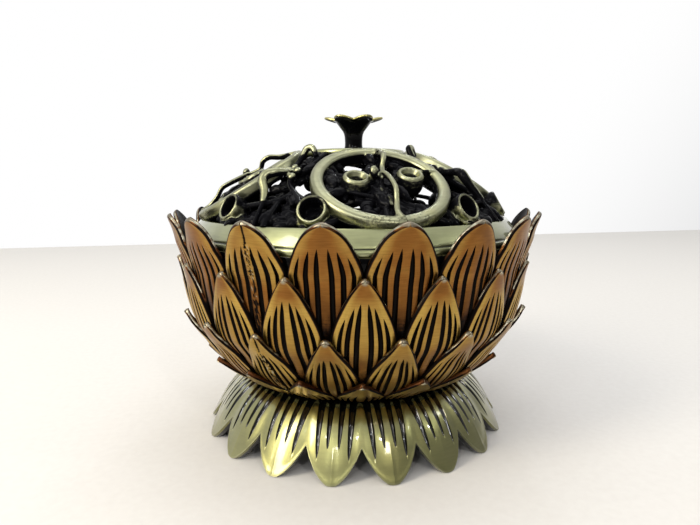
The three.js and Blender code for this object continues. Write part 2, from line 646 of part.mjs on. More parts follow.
function knob() {
  const bore = KNOB_SCREW_R + CLEARANCE;
  const boreTop = KNOB_Z + KNOB_SCREW_REACH + CLEARANCE;
  const reach = KNOB_FLOWER_R - KNOB_STEM_R;
  const profileAt = (azimuth) => {
    const lobe = 0.5 + 0.5 * Math.cos(KNOB_LOBES * (azimuth - KNOB_TURN));
    const open = 1 - KNOB_NOTCH * (1 - lobe);
    const lipZ = KNOB_LIP_Z - KNOB_LOBE_RISE * (1 - lobe);
    const lipR = KNOB_FLOWER_R * open;
    const bend = ([along, up]) => [
      KNOB_STEM_R + reach * along * open,
      KNOB_FLOWER_Z + KNOB_FLOWER_HEIGHT * up,
    ];
    return [
      [0, boreTop],
      [bore, boreTop],
      [bore, KNOB_Z],
      [KNOB_FOOT_R, KNOB_Z],
      [KNOB_FOOT_R - KNOB_FOOT_TAPER, KNOB_Z + KNOB_FOOT_BAND],
      [KNOB_STEM_R, KNOB_Z + KNOB_FOOT_RISE],
      [KNOB_STEM_R, KNOB_FLOWER_Z],
      ...KNOB_OUTSIDE.map(bend),
      [lipR - KNOB_LIP_EDGE, lipZ - KNOB_LIP],
      [lipR, lipZ - KNOB_LIP / 2],
      [lipR - KNOB_LIP_WIDTH, lipZ],
      ...KNOB_INSIDE.map(bend),
      [0, KNOB_FLOWER_Z + KNOB_FLOWER_HEIGHT * KNOB_THROAT],
    ];
  };
  return loft(profileAt, KNOB_LOBES * 4);
}

// Screw under a washer: a shank that goes up, and a head below it with a straight slot.
function screw(shankR, headR, headTop, headHeight, tip) {
  const body = solid(
    turned(
      [
        [0, headTop - headHeight],
        [headR - BEVEL, headTop - headHeight],
        [headR, headTop - headHeight + BEVEL],
        [headR, headTop],
        [shankR, headTop],
        [shankR, tip],
        [0, tip],
      ],
      SCREW_STEPS,
    ),
  );
  const slot = new THREE.BoxGeometry(3 * headR, headR * SLOT_WIDTH, 2 * headHeight * SLOT_DEPTH);
  slot.translate(0, 0, headTop - headHeight);
  return geometryOf(body.subtract(solid(slot)));
}

function washer(boreR, radius, under, thick) {
  const over = under + thick;
  return turned([[boreR, under], [radius, under], [radius, over], [boreR, over]], SCREW_STEPS);
}

// Assembly
const base = new THREE.Group();
const FOOT_WASHER_Z = FOOT_HEIGHT - FOOT_WALL - FOOT_WASHER_THICK;
const FOOT_SCREW_TIP_Z = FOOT_HEIGHT + SCREW_REACH - CLEARANCE;
place(base, "foot_skirt", footSkirt(), PALE_BRASS);
place(base, "bowl_shell", bowlShell(), DARK_BRASS);
["top", "upper", "lower", "bottom"].forEach((level, tier) =>
  place(base, `petal_tier_${level}`, petalTier(tier), PETAL_BRASS),
);
place(
  base,
  "foot_washer",
  washer(FOOT_SCREW_R + CLEARANCE, FOOT_WASHER_R, FOOT_WASHER_Z, FOOT_WASHER_THICK),
  STEEL,
);
place(
  base,
  "foot_screw",
  screw(FOOT_SCREW_R, FOOT_SCREW_HEAD_R, FOOT_WASHER_Z, FOOT_SCREW_HEAD, FOOT_SCREW_TIP_Z),
  STEEL,
);
place(base, "incense_holder", incenseHolder(), PALE_BRASS);

const lid = new THREE.Group();
place(lid, "lid_rim", lidRim(), PALE_BRASS);
place(lid, "lid_crown", lidCrown(), PALE_BRASS);
const rimCutter = solid(lidRim(CLEARANCE));
const crownCutter = solid(lidCrown(CLEARANCE));
const ringCutters = [];
for (let side = 0; side < SIDES; side++) {
  const azimuth = (2 * Math.PI * side) / SIDES;
  const body = without(medallionBody(azimuth), [rimCutter, crownCutter]);
  place(lid, `lid_medallion_${side + 1}`, geometryOf(body), PALE_BRASS);
  ringCutters.push(solid(medallionRing(CLEARANCE)).transform(medallionFrame(azimuth).elements));
}
for (let side = 0; side < SIDES; side++) {
  const azimuth = (2 * Math.PI * (side + 0.5)) / SIDES;
  const neighbours = [ringCutters[side], ringCutters[(side + 1) % SIDES]];
  const body = without(sprayBody(azimuth), [rimCutter, crownCutter, ...neighbours]);
  place(lid, `lid_spray_${side + 1}`, geometryOf(body), DARK_BRASS);
}
const KNOB_WASHER_Z = CROWN_UNDER_Z - KNOB_WASHER_THICK;
place(lid, "knob", knob(), DARK_BRASS);
place(
  lid,
  "knob_washer",
  washer(KNOB_SCREW_R + CLEARANCE, KNOB_WASHER_R, KNOB_WASHER_Z, KNOB_WASHER_THICK),
  STEEL,
);
place(
  lid,
  "knob_screw",
  screw(KNOB_SCREW_R, KNOB_SCREW_HEAD_R, KNOB_WASHER_Z, KNOB_SCREW_HEAD, KNOB_Z + KNOB_SCREW_REACH),
  STEEL,
);

censer.add(base, lid);

export default censer;
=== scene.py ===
# Lotus table censer in antiqued cast brass: petalled foot, petal-clad bowl, pierced dome lid with a
# trumpet-flower knob, and a loose incense holder inside. Shapes are drawn in millimetres, +Z up, with
# azimuths from the front (-Y) towards +X, and become metres when a mesh is made.
import random
from math import atan, atan2, copysign, cos, exp, hypot, pi, radians, sin, sqrt

import bmesh
import bpy
from mathutils import Matrix, Vector, noise


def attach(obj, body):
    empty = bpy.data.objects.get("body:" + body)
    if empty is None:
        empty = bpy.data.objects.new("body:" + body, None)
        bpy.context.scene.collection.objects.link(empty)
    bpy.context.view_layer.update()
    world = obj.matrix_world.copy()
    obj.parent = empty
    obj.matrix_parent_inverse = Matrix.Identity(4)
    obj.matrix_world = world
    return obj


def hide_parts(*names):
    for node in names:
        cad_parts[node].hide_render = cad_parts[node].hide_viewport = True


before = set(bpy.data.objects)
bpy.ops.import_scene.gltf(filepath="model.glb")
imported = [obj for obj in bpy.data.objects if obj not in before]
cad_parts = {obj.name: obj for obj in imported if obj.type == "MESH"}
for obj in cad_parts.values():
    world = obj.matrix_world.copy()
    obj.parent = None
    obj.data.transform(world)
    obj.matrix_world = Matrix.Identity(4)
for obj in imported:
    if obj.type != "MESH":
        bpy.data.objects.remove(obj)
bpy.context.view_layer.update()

MM = 0.001
PETALS = 18
PITCH = 2 * pi / PETALS


def new_object(name, data):
    made = bpy.data.objects.new(name, data)
    bpy.context.scene.collection.objects.link(made)
    return made


def photo_camera():
    """The photograph's view: a 28 mm lens, 154 mm in front of the censer and 68 mm above the table."""
    camera = bpy.data.cameras.new("photo_camera")
    camera.lens = 28.0
    camera.sensor_width = 36.0
    camera.clip_start = 0.01
    holder = new_object("photo_camera", camera)
    bpy.context.scene.camera = holder
    yaw, pitch, roll, azimuth = (radians(a) for a in (-0.41, 8.67, -0.18, -12.64))
    ahead = Vector((sin(yaw) * cos(pitch), cos(yaw) * cos(pitch), -sin(pitch)))
    right = Vector((cos(yaw), -sin(yaw), 0))
    up = right.cross(ahead)
    turn = Matrix((cos(roll) * right + sin(roll) * up, cos(roll) * up - sin(roll) * right, -ahead))
    place = Matrix.Translation((0, -0.1539, 0.068))
    holder.matrix_world = Matrix.Rotation(azimuth, 4, "Z") @ place @ turn.transposed().to_4x4()


photo_camera()


def clamp(value, low=0.0, high=1.0):
    return max(low, min(high, value))


def ease(value, low, high):
    t = clamp((value - low) / (high - low))
    return t * t * (3 - 2 * t)


def mix(a, b, t):
    return a + (b - a) * t


def polar(azimuth, r, z):
    return Vector((r * sin(azimuth), -r * cos(azimuth), z))


def linear(colour):
    """sRGB hex colour as a linear RGBA tuple."""
    parts = [int(colour[i:i + 2], 16) / 255 for i in (1, 3, 5)]
    return (*(c / 12.92 if c <= 0.04045 else ((c + 0.055) / 1.055) ** 2.4 for c in parts), 1)


def feed(tree, node, inputs):
    """Sets a node's inputs to values, to sockets, or to nodes, which give their first output in use."""
    for key, value in inputs.items():
        if isinstance(value, bpy.types.Node):
            value = next(socket for socket in value.outputs if socket.enabled)
        if isinstance(value, bpy.types.NodeSocket):
            tree.links.new(value, node.inputs[key])
        else:
            node.inputs[key].default_value = value


def add_node(tree, kind, inputs=None, **settings):
    made = tree.nodes.new(kind)
    for key, value in settings.items():
        setattr(made, key, value)
    feed(tree, made, inputs or {})
    return made


def new_material(name):
    """A material, its tree, its shader and the object's coordinates."""
    material = bpy.data.materials.new(name)
    material.use_nodes = True
    tree = material.node_tree
    place = add_node(tree, "ShaderNodeTexCoord").outputs["Object"]
    return material, tree, tree.nodes["Principled BSDF"], place


class Shape:
    """Points in mm with faces. Each point says how far it is rubbed (0 black, 1 bare brass, more is a bright
    edge), which in places also carries painted shade and painted highlight, and how golden it is (0 brown,
    1 gold)."""

    def __init__(self):
        self.points, self.faces, self.rub, self.gold = [], [], [], []

    def add(self, points, faces, rub=None, gold=None):
        start = len(self.points)
        self.points += [Vector(p) for p in points]
        self.faces += [[start + i for i in face] for face in faces]
        self.rub += rub or [1.0] * len(points)
        self.gold += gold or [0.0] * len(points)
        return self

    def mesh(self, name, weld=0.002, sharp=50):
        work = bmesh.new()
        rub_layer = work.verts.layers.float.new("rub")
        gold_layer = work.verts.layers.float.new("gold")
        for point, rub, gold in zip(self.points, self.rub, self.gold):
            vert = work.verts.new(point * MM)
            vert[rub_layer], vert[gold_layer] = rub, gold
        work.verts.ensure_lookup_table()
        for face in self.faces:
            work.faces.new([work.verts[i] for i in face])
        bmesh.ops.remove_doubles(work, verts=work.verts, dist=weld * MM)
        bmesh.ops.dissolve_degenerate(work, edges=work.edges, dist=weld * MM * 0.1)
        for face in work.faces:
            face.smooth = True
        for edge in work.edges:
            if len(edge.link_faces) == 2 and edge.calc_face_angle(0) > radians(sharp):
                edge.smooth = False
        mesh = bpy.data.meshes.new(name)
        work.to_mesh(mesh)
        work.free()
        return mesh


def skin(loops, around=False, ring=True):
    """Faces between neighbouring loops of (point, rub) or (point, rub, gold). around joins the last loop
    to the first, and ring closes each loop."""
    count, faces = len(loops[0]), []
    for i in range(len(loops) - (not around)):
        after = (i + 1) % len(loops)
        for k in range(count - (not ring)):
            above = (k + 1) % count
            faces.append([i * count + k, after * count + k, after * count + above, i * count + above])
    rows = [row for loop in loops for row in loop]
    return Shape().add([row[0] for row in rows], faces, [row[1] for row in rows],
                       [row[2] if len(row) > 2 else 0.0 for row in rows])


def baked(name, source):
    """The evaluated object as a new plain one; the source and its modifiers go."""
    graph = bpy.context.evaluated_depsgraph_get()
    mesh = bpy.data.meshes.new_from_object(source.evaluated_get(graph), depsgraph=graph)
    mesh.name = name
    bpy.data.objects.remove(source)
    return new_object(name, mesh)


def fit(piece, material, body, slot, *nodes):
    """Material, body and the nodes that the piece stands for; slot is not used."""
    piece.data.materials.clear()
    piece.data.materials.append(material)
    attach(piece, body)
    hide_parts(*nodes)


def antiqued(name, dusk, bare, gold, edge, deep, grain, bare_rough, deep_rough, sheen, coat, line_depth):
    """Cast brass that was blackened, rubbed back by hand where "rub" is high, and lacquered. Its tone goes
    from dusk over bare to gold as "gold" goes from -1 to 1. Where "rub" goes past 1 it turns paler still:
    on rubbed edges, and on the petals' tips and outlines also as a painted highlight. grain is the spacing
    of the rubbing lines in mm, along the three axes."""
    material, tree, shader, place = new_material(name)
    rub = add_node(tree, "ShaderNodeAttribute", attribute_name="rub").outputs["Fac"]
    golden = add_node(tree, "ShaderNodeAttribute", attribute_name="gold").outputs["Fac"]
    along = add_node(tree, "ShaderNodeMapping", {"Vector": place, "Scale": [1 / (g * MM) for g in grain]})
    lines = add_node(
        tree, "ShaderNodeTexNoise", {"Vector": along, "Scale": 1.0, "Detail": 3.0, "Roughness": 0.6})
    cloud = add_node(tree, "ShaderNodeTexNoise", {"Vector": place, "Scale": 1 / (7 * MM), "Detail": 2.0})
    specks = add_node(
        tree, "ShaderNodeTexNoise",
        {"Vector": place, "Scale": 1 / (0.8 * MM), "Detail": 4.0, "Roughness": 0.65})
    # Rubbing is uneven: specks and streaks of the black stay in it
    patchy = add_node(tree, "ShaderNodeMath", {0: specks, 1: lines}, operation="ADD")
    uneven = add_node(tree, "ShaderNodeMath", {0: patchy, 1: 0.4, 2: rub}, operation="MULTIPLY_ADD")
    worn = add_node(
        tree, "ShaderNodeMapRange", {"Value": uneven, "From Min": 0.68, "From Max": 1.12},
        interpolation_type="SMOOTHSTEP")
    # Its tone drifts over some millimetres, and the rubbing lines darken it
    drift = add_node(
        tree, "ShaderNodeMapRange",
        {"Value": cloud, "From Min": 0.3, "From Max": 0.7, "To Min": -0.3, "To Max": 0.3})
    toned = add_node(tree, "ShaderNodeMath", {0: drift, 1: golden}, operation="ADD")
    above_dusk = add_node(tree, "ShaderNodeMath", {0: toned, 1: 1.0}, operation="ADD")
    low = add_node(
        tree, "ShaderNodeMix", {"Factor": above_dusk, "A": linear(dusk), "B": linear(bare)},
        data_type="RGBA")
    tone = add_node(tree, "ShaderNodeMix", {"Factor": toned, "A": low, "B": linear(gold)}, data_type="RGBA")
    lined = add_node(
        tree, "ShaderNodeMapRange",
        {"Value": lines, "From Min": 0.3, "From Max": 0.62, "To Min": 1 - line_depth})
    brushed = add_node(
        tree, "ShaderNodeMix", {"Factor": 1.0, "A": tone, "B": lined},
        data_type="RGBA", blend_type="MULTIPLY")
    # Past 1, rub turns to the pale edge colour: rubbed edges, and painted highlights on the petals
    bright = add_node(tree, "ShaderNodeMapRange", {"Value": rub, "From Min": 1.02, "From Max": 1.2})
    edged = add_node(
        tree, "ShaderNodeMix", {"Factor": bright, "A": brushed, "B": linear(edge)}, data_type="RGBA")
    colour = add_node(
        tree, "ShaderNodeMix", {"Factor": worn, "A": linear(deep), "B": edged}, data_type="RGBA")
    rough = add_node(tree, "ShaderNodeMapRange", {"Value": worn, "To Min": deep_rough, "To Max": bare_rough})
    bump = add_node(tree, "ShaderNodeBump", {"Height": lines, "Strength": 0.2, "Distance": 0.03 * MM})
    feed(tree, shader, {
        "Base Color": colour, "Metallic": worn, "Roughness": rough, "Normal": bump,
        "Specular IOR Level": sheen, "Coat Weight": coat, "Coat Roughness": 0.07})
    return material


# Rubbed brown brass: warm copper-brown ribs with fine level rubbing lines, glossy black grooves, and a
# pale grey edge colour for the rubbed tips and for the painted highlights on the tips and outlines
PETAL_BRASS = antiqued(
    "rubbed brown cast brass", "#432816", "#885b2b", "#b5954c", "#a3a08c", "#070403",
    (3.5, 3.5, 0.26), 0.33, 0.3, 0.04, 0.0, 0.22)
# Pale brass under clear lacquer: green-gold, with white highlights from the lacquer
PALE_BRASS = antiqued(
    "pale lacquered cast brass", "#57553a", "#888654", "#969362", "#d8d6b0", "#060605",
    (5.0, 5.0, 0.5), 0.3, 0.12, 0.2, 1.0, 0.1)
# Turned brass of the lid's rim: satin and a little greener
RIM_BRASS = antiqued(
    "satin turned rim brass", "#5c5b3a", "#94976c", "#a4a67c", "#d0d0b4", "#060605",
    (5.0, 5.0, 0.4), 0.34, 0.12, 0.2, 1.0, 0.1)
# Rubbed openwork brass: grey-green gold on what stands proud, over wet-looking black
OPENWORK_BRASS = antiqued(
    "rubbed openwork cast brass", "#4c4a38", "#96977a", "#a8a46a", "#c4c4a2", "#0b0b0e",
    (3.0, 3.0, 0.6), 0.34, 0.1, 0.04, 0.0, 0.16)
# Blackened brass: wet-looking black that turns gold only on the high spots
DARK_BRASS = antiqued(
    "blackened glossy cast brass", "#3c3a28", "#8f8a56", "#a39c5c", "#bdb67c", "#030304",
    (2.0, 2.0, 0.8), 0.28, 0.1, 0.08, 0.0, 0.16)


def plated_steel():
    """Zinc-plated steel of the hidden screws: cool grey, faintly mottled and scratched."""
    material, tree, shader, place = new_material("zinc-plated steel")
    mottle = add_node(tree, "ShaderNodeTexNoise", {"Vector": place, "Scale": 1 / (0.7 * MM), "Detail": 3.0})
    greys = {"Factor": mottle, "A": linear("#8f9092"), "B": linear("#b9bab8")}
    colour = add_node(tree, "ShaderNodeMix", greys, data_type="RGBA")
    rough = add_node(tree, "ShaderNodeMapRange", {"Value": mottle, "To Min": 0.25, "To Max": 0.45})
    feed(tree, shader, {"Base Color": colour, "Roughness": rough, "Metallic": 1.0})
    return material


STEEL = plated_steel()


def lathe(profile, steps):
    """Closed turned body. Its profile runs anticlockwise as (r, z) or (r, z, rub)."""
    loops = []
    for i in range(steps):
        azimuth = 2 * pi * i / steps
        loops.append([(polar(azimuth, p[0], p[1]), p[2] if len(p) > 2 else 1.0) for p in profile])
    return skin(loops, around=True)


def rounded(profile, radius, steps=4):
    """The same closed profile with its corners rounded."""
    made = []
    count = len(profile)
    for i, corner in enumerate(profile):
        here = Vector(corner[:2])
        back, ahead = Vector(profile[i - 1][:2]) - here, Vector(profile[(i + 1) % count][:2]) - here
        worn = tuple(corner[2:])
        if here.x == 0 or min(back.length, ahead.length) < 1e-6:
            made.append(tuple(corner))
            continue
        reach = min(radius, back.length * 0.45, ahead.length * 0.45)
        start, end = here + back.normalized() * reach, here + ahead.normalized() * reach
        for k in range(steps + 1):
            t = k / steps
            point = start * (1 - t) ** 2 + here * 2 * t * (1 - t) + end * t ** 2
            made.append((point.x, point.y) + worn)
    return made


def ring_tree():
    """Copies of a petal round the axis. The petal at place Which of every Every is the other petal."""
    tree = bpy.data.node_groups.new("copies round the axis", "GeometryNodeTree")
    sockets = {}
    for name, kind in (
            ("Petal", "Geometry"), ("Other petal", "Object"), ("Count", "Int"), ("First azimuth", "Float"),
            ("Every", "Int"), ("Which", "Int"), ("Weld distance", "Float"), ("Finish", "Material")):
        sockets[name] = tree.interface.new_socket(name=name, in_out="INPUT", socket_type=f"NodeSocket{kind}")
    tree.interface.new_socket(name="Ring", in_out="OUTPUT", socket_type="NodeSocketGeometry")
    inlet = add_node(tree, "NodeGroupInput").outputs
    points = add_node(tree, "GeometryNodePoints", {"Count": inlet["Count"]})
    index = add_node(tree, "GeometryNodeInputIndex")
    step = add_node(tree, "ShaderNodeMath", {0: 2 * pi, 1: inlet["Count"]}, operation="DIVIDE")
    turn = add_node(
        tree, "ShaderNodeMath", {0: index, 1: step, 2: inlet["First azimuth"]}, operation="MULTIPLY_ADD")
    rotation = add_node(tree, "ShaderNodeCombineXYZ", {"Z": turn})
    within = add_node(tree, "ShaderNodeMath", {0: index, 1: inlet["Every"]}, operation="MODULO")
    other = add_node(
        tree, "FunctionNodeCompare", {0: within, 1: inlet["Which"], "Epsilon": 0.1},
        data_type="FLOAT", operation="EQUAL")
    plain = add_node(tree, "FunctionNodeBooleanMath", {0: other}, operation="NOT")
    other_petal = add_node(tree, "GeometryNodeObjectInfo", {"Object": inlet["Other petal"]})
    both = add_node(tree, "GeometryNodeJoinGeometry")
    for chosen, petal in ((plain, inlet["Petal"]), (other, other_petal.outputs["Geometry"])):
        placed = add_node(
            tree, "GeometryNodeInstanceOnPoints",
            {"Points": points, "Selection": chosen, "Instance": petal, "Rotation": rotation})
        feed(tree, both, {0: placed})
    real = add_node(tree, "GeometryNodeRealizeInstances", {"Geometry": both})
    welded = add_node(
        tree, "GeometryNodeMergeByDistance", {"Geometry": real, "Distance": inlet["Weld distance"]})
    finished = add_node(tree, "GeometryNodeSetMaterial", {"Geometry": welded, "Material": inlet["Finish"]})
    add_node(tree, "NodeGroupOutput", {0: finished})
    return tree, sockets


RING, RING_SOCKETS = ring_tree()


def ring_of(name, petal, finish, other=None, first=0.0, every=1, which=-1, weld=0.0):
    """A ring of petals as one plain mesh object."""
    base = new_object(name + "_petal", petal)
    spare = new_object(name + "_other", other) if other else None
    ring = base.modifiers.new("ring", "NODES")
    ring.node_group = RING
    values = {"Other petal": spare, "Count": PETALS, "First azimuth": first, "Every": every,
              "Which": which, "Weld distance": weld * MM, "Finish": finish}
    for key, value in values.items():
        ring[RING_SOCKETS[key].identifier] = value
    made = baked(name, base)
    if spare:
        bpy.data.objects.remove(spare)
    return made


# Foot: a skirt that flares from its neck to the petals' tips
FOOT_HEIGHT = 15.5
FOOT_NECK_R = 27.5
FOOT_REACH = 13.7
FOOT_FLARE = 1.9
FOOT_NOTCH_Z = 7.2
FOOT_WALL = 1.5
FOOT_HOLE_R = 5.3
# Bowl: stands on the foot
BOWL_BASE_R = 28
BOWL_REACH = 17.8
BOWL_RIM_Z = 52.5
BOWL_HEIGHT = BOWL_RIM_Z - FOOT_HEIGHT
BOWL_WALL = 2.2
BOWL_FLOOR_Z = 18.1
# The tiers' tips, where each ends behind the tiers over it, and a petal's thickness with a gap
TIP_Z = (59.7, 48.4, 35.3, 23.5)
HEM_Z = (32.9, 21.1, 16.0, 16.0)
LAYER = 1.3


def bowl_radius(z):
    u = (clamp(z, FOOT_HEIGHT, BOWL_RIM_Z) - FOOT_HEIGHT) / BOWL_HEIGHT
    return BOWL_BASE_R + BOWL_REACH * (0.72 * (1 - (1 - u) ** 4) + 0.28 * u)


def tier_radius(tier, z):
    """Outside of a petal tier: each lies over the ones above it, and the top one's tips lean out."""
    over_first = (tier > 0) * ease(z, 26.7, 32.6)
    over_second = (tier > 1) * ease(z, 15.5, 20.8)
    lean = 2.9 * max(0.0, (z - 46) / 13.7) ** 1.3 if tier == 0 else 0.0
    return bowl_radius(z) + LAYER * (1 + over_first + over_second + (tier > 2)) + lean


def down_the_tier(tier):
    """Table of (distance from the tip, radius, z) down a tier's outside."""
    table = [(0.0, tier_radius(tier, TIP_Z[tier]), TIP_Z[tier])]
    z = TIP_Z[tier]
    while z > HEM_Z[tier]:
        z = max(HEM_Z[tier], z - 0.1)
        r = tier_radius(tier, z)
        table.append((table[-1][0] + hypot(r - table[-1][1], z - table[-1][2]), r, z))
    return table


def on_the_tier(table, distance):
    """Radius, height and outward slope (dr, dz) at a distance below the tip."""
    low = 0
    while low < len(table) - 2 and table[low + 1][0] < distance:
        low += 1
    (d0, r0, z0), (d1, r1, z1) = table[low], table[low + 1]
    t = (distance - d0) / (d1 - d0)
    run = hypot(r1 - r0, z1 - z0)
    return mix(r0, r1, t), mix(z0, z1, t), ((z0 - z1) / run, (r1 - r0) / run)


def tip(d, reach):
    """Share of a round tip's half-width at a distance below it."""
    return sqrt(1 - (1 - clamp(d / reach)) ** 2)


# Half-width of a petal at a distance below its tip
OUTLINES = (
    lambda d: 8.6 * (1 - (1 - clamp(d / 16)) ** 2) ** 0.6,
    lambda d: 6.8 * (1 - (1 - clamp(d / 15.5)) ** 1.85) + 0.5 * tip(d, 0.7),
    lambda d: 6.0 * (1 - (1 - clamp(d / 16)) ** 1.6) + 0.65 * tip(d, 0.7),
    lambda d: 5.6 * (1 - (1 - clamp(d / 11)) ** 1.7) + 0.35 * tip(d, 0.4),
)
# The bevel between the outline and the rubbed face: its width at the tip, and how much more at the sides
BEVELS = ((0.8, 0.4), (0.65, 0.4), (0.6, 0.3), (0.45, 0.0))
PETAL_THICK = 1.1
# Either side of the middle: (share of the half-width, distance of the point below the tip, half-width)
GROOVES = (
    ((0.205, 5.4, 0.62), (0.515, 5.9, 0.62), (0.80, 7.2, 0.5)),
    ((0.225, 5.2, 0.62), (0.52, 6.2, 0.58), (0.77, 8.6, 0.5)),
    ((0.22, 5.2, 0.52), (0.49, 6.2, 0.48), (0.80, 8.6, 0.38)),
    ((0.26, 5.6, 0.42), (0.56, 6.2, 0.40), (0.83, 7.0, 0.30)),
)
# How far a petal's edges lie back from its middle
SAG = (0.55, 0.5, 0.5, 0.4)
# How golden a tier is near the tips, 8 mm down and at the foot of what shows, and how rubbed at the tips
# and at that foot. The lower values at the foot darken each petal downwards, where it goes in behind the
# tier below it and, for the bottom tier, into the neck: partly patina, partly painted shade.
GOLD = ((-0.05, 0.0, -0.9), (-0.1, 0.6, 0.1), (0.2, 0.6, 0.0), (0.7, 0.8, 0.5))
RUB_AND_SHADE = ((0.95, 0.86), (0.97, 0.9), (0.98, 0.9), (1.0, 0.95))
# Across a groove: place, share of its depth, rub
ACROSS_GROOVE = ((-1.0, 0.0, 1.0), (-0.9, 0.2, 0.1), (-0.55, 0.9, 0.0), (0.0, 1.0, 0.0), (0.55, 0.9, 0.0),
                 (0.9, 0.2, 0.1), (1.0, 0.0, 1.0))
# Places across a rib, and across the middle rib of a seam petal
RIB = (0.08, 0.3, 0.7, 0.92)
SEAM_RIB = (0.1, 0.26, 0.4, 0.47, 0.5, 0.53, 0.6, 0.74, 0.9)
MIDDLE_RIB = 3


def carved(start, end, grooves, on_rib, full):
    """Places across ribs and the grooves between them, as (place, out, rub). A groove is its centre,
    half-width and depth, and is black from the full depth on. on_rib gives (share, out, rub) for rib k."""
    places = []
    for k, (centre, half, deep) in enumerate(grooves + [(end, 0, 0)]):
        places += [(mix(start, centre - half, t), out, worn) for t, out, worn in on_rib(k)]
        if k < len(grooves):
            for u, bite, worn in ACROSS_GROOVE:
                places.append((centre + u * half, -deep * bite, mix(1.0, worn, clamp(deep / full))))
        start = centre + half
    return places


def petal_rows(length):
    """Distances of a petal's rows below its tip, close together round the tip."""
    rows = [0, 0.03, 0.1, 0.2, 0.33, 0.5, 0.6, 0.7, 0.82, 0.95, 1.1, 1.3, 1.6, 2.0, 2.5, 3.0, 3.5, 4.0,
            4.4, 4.75]
    while rows[-1] < min(12.0, length - 0.5):
        rows.append(rows[-1] + 0.42)
    while rows[-1] < length - 0.9:
        rows.append(rows[-1] + 0.85)
    return [d for d in rows if d < length] + [length]


def round_over(share):
    """How far a rounded bevel has dropped at a share of its width."""
    return 1 - sqrt(1 - 0.96 * share ** 2)


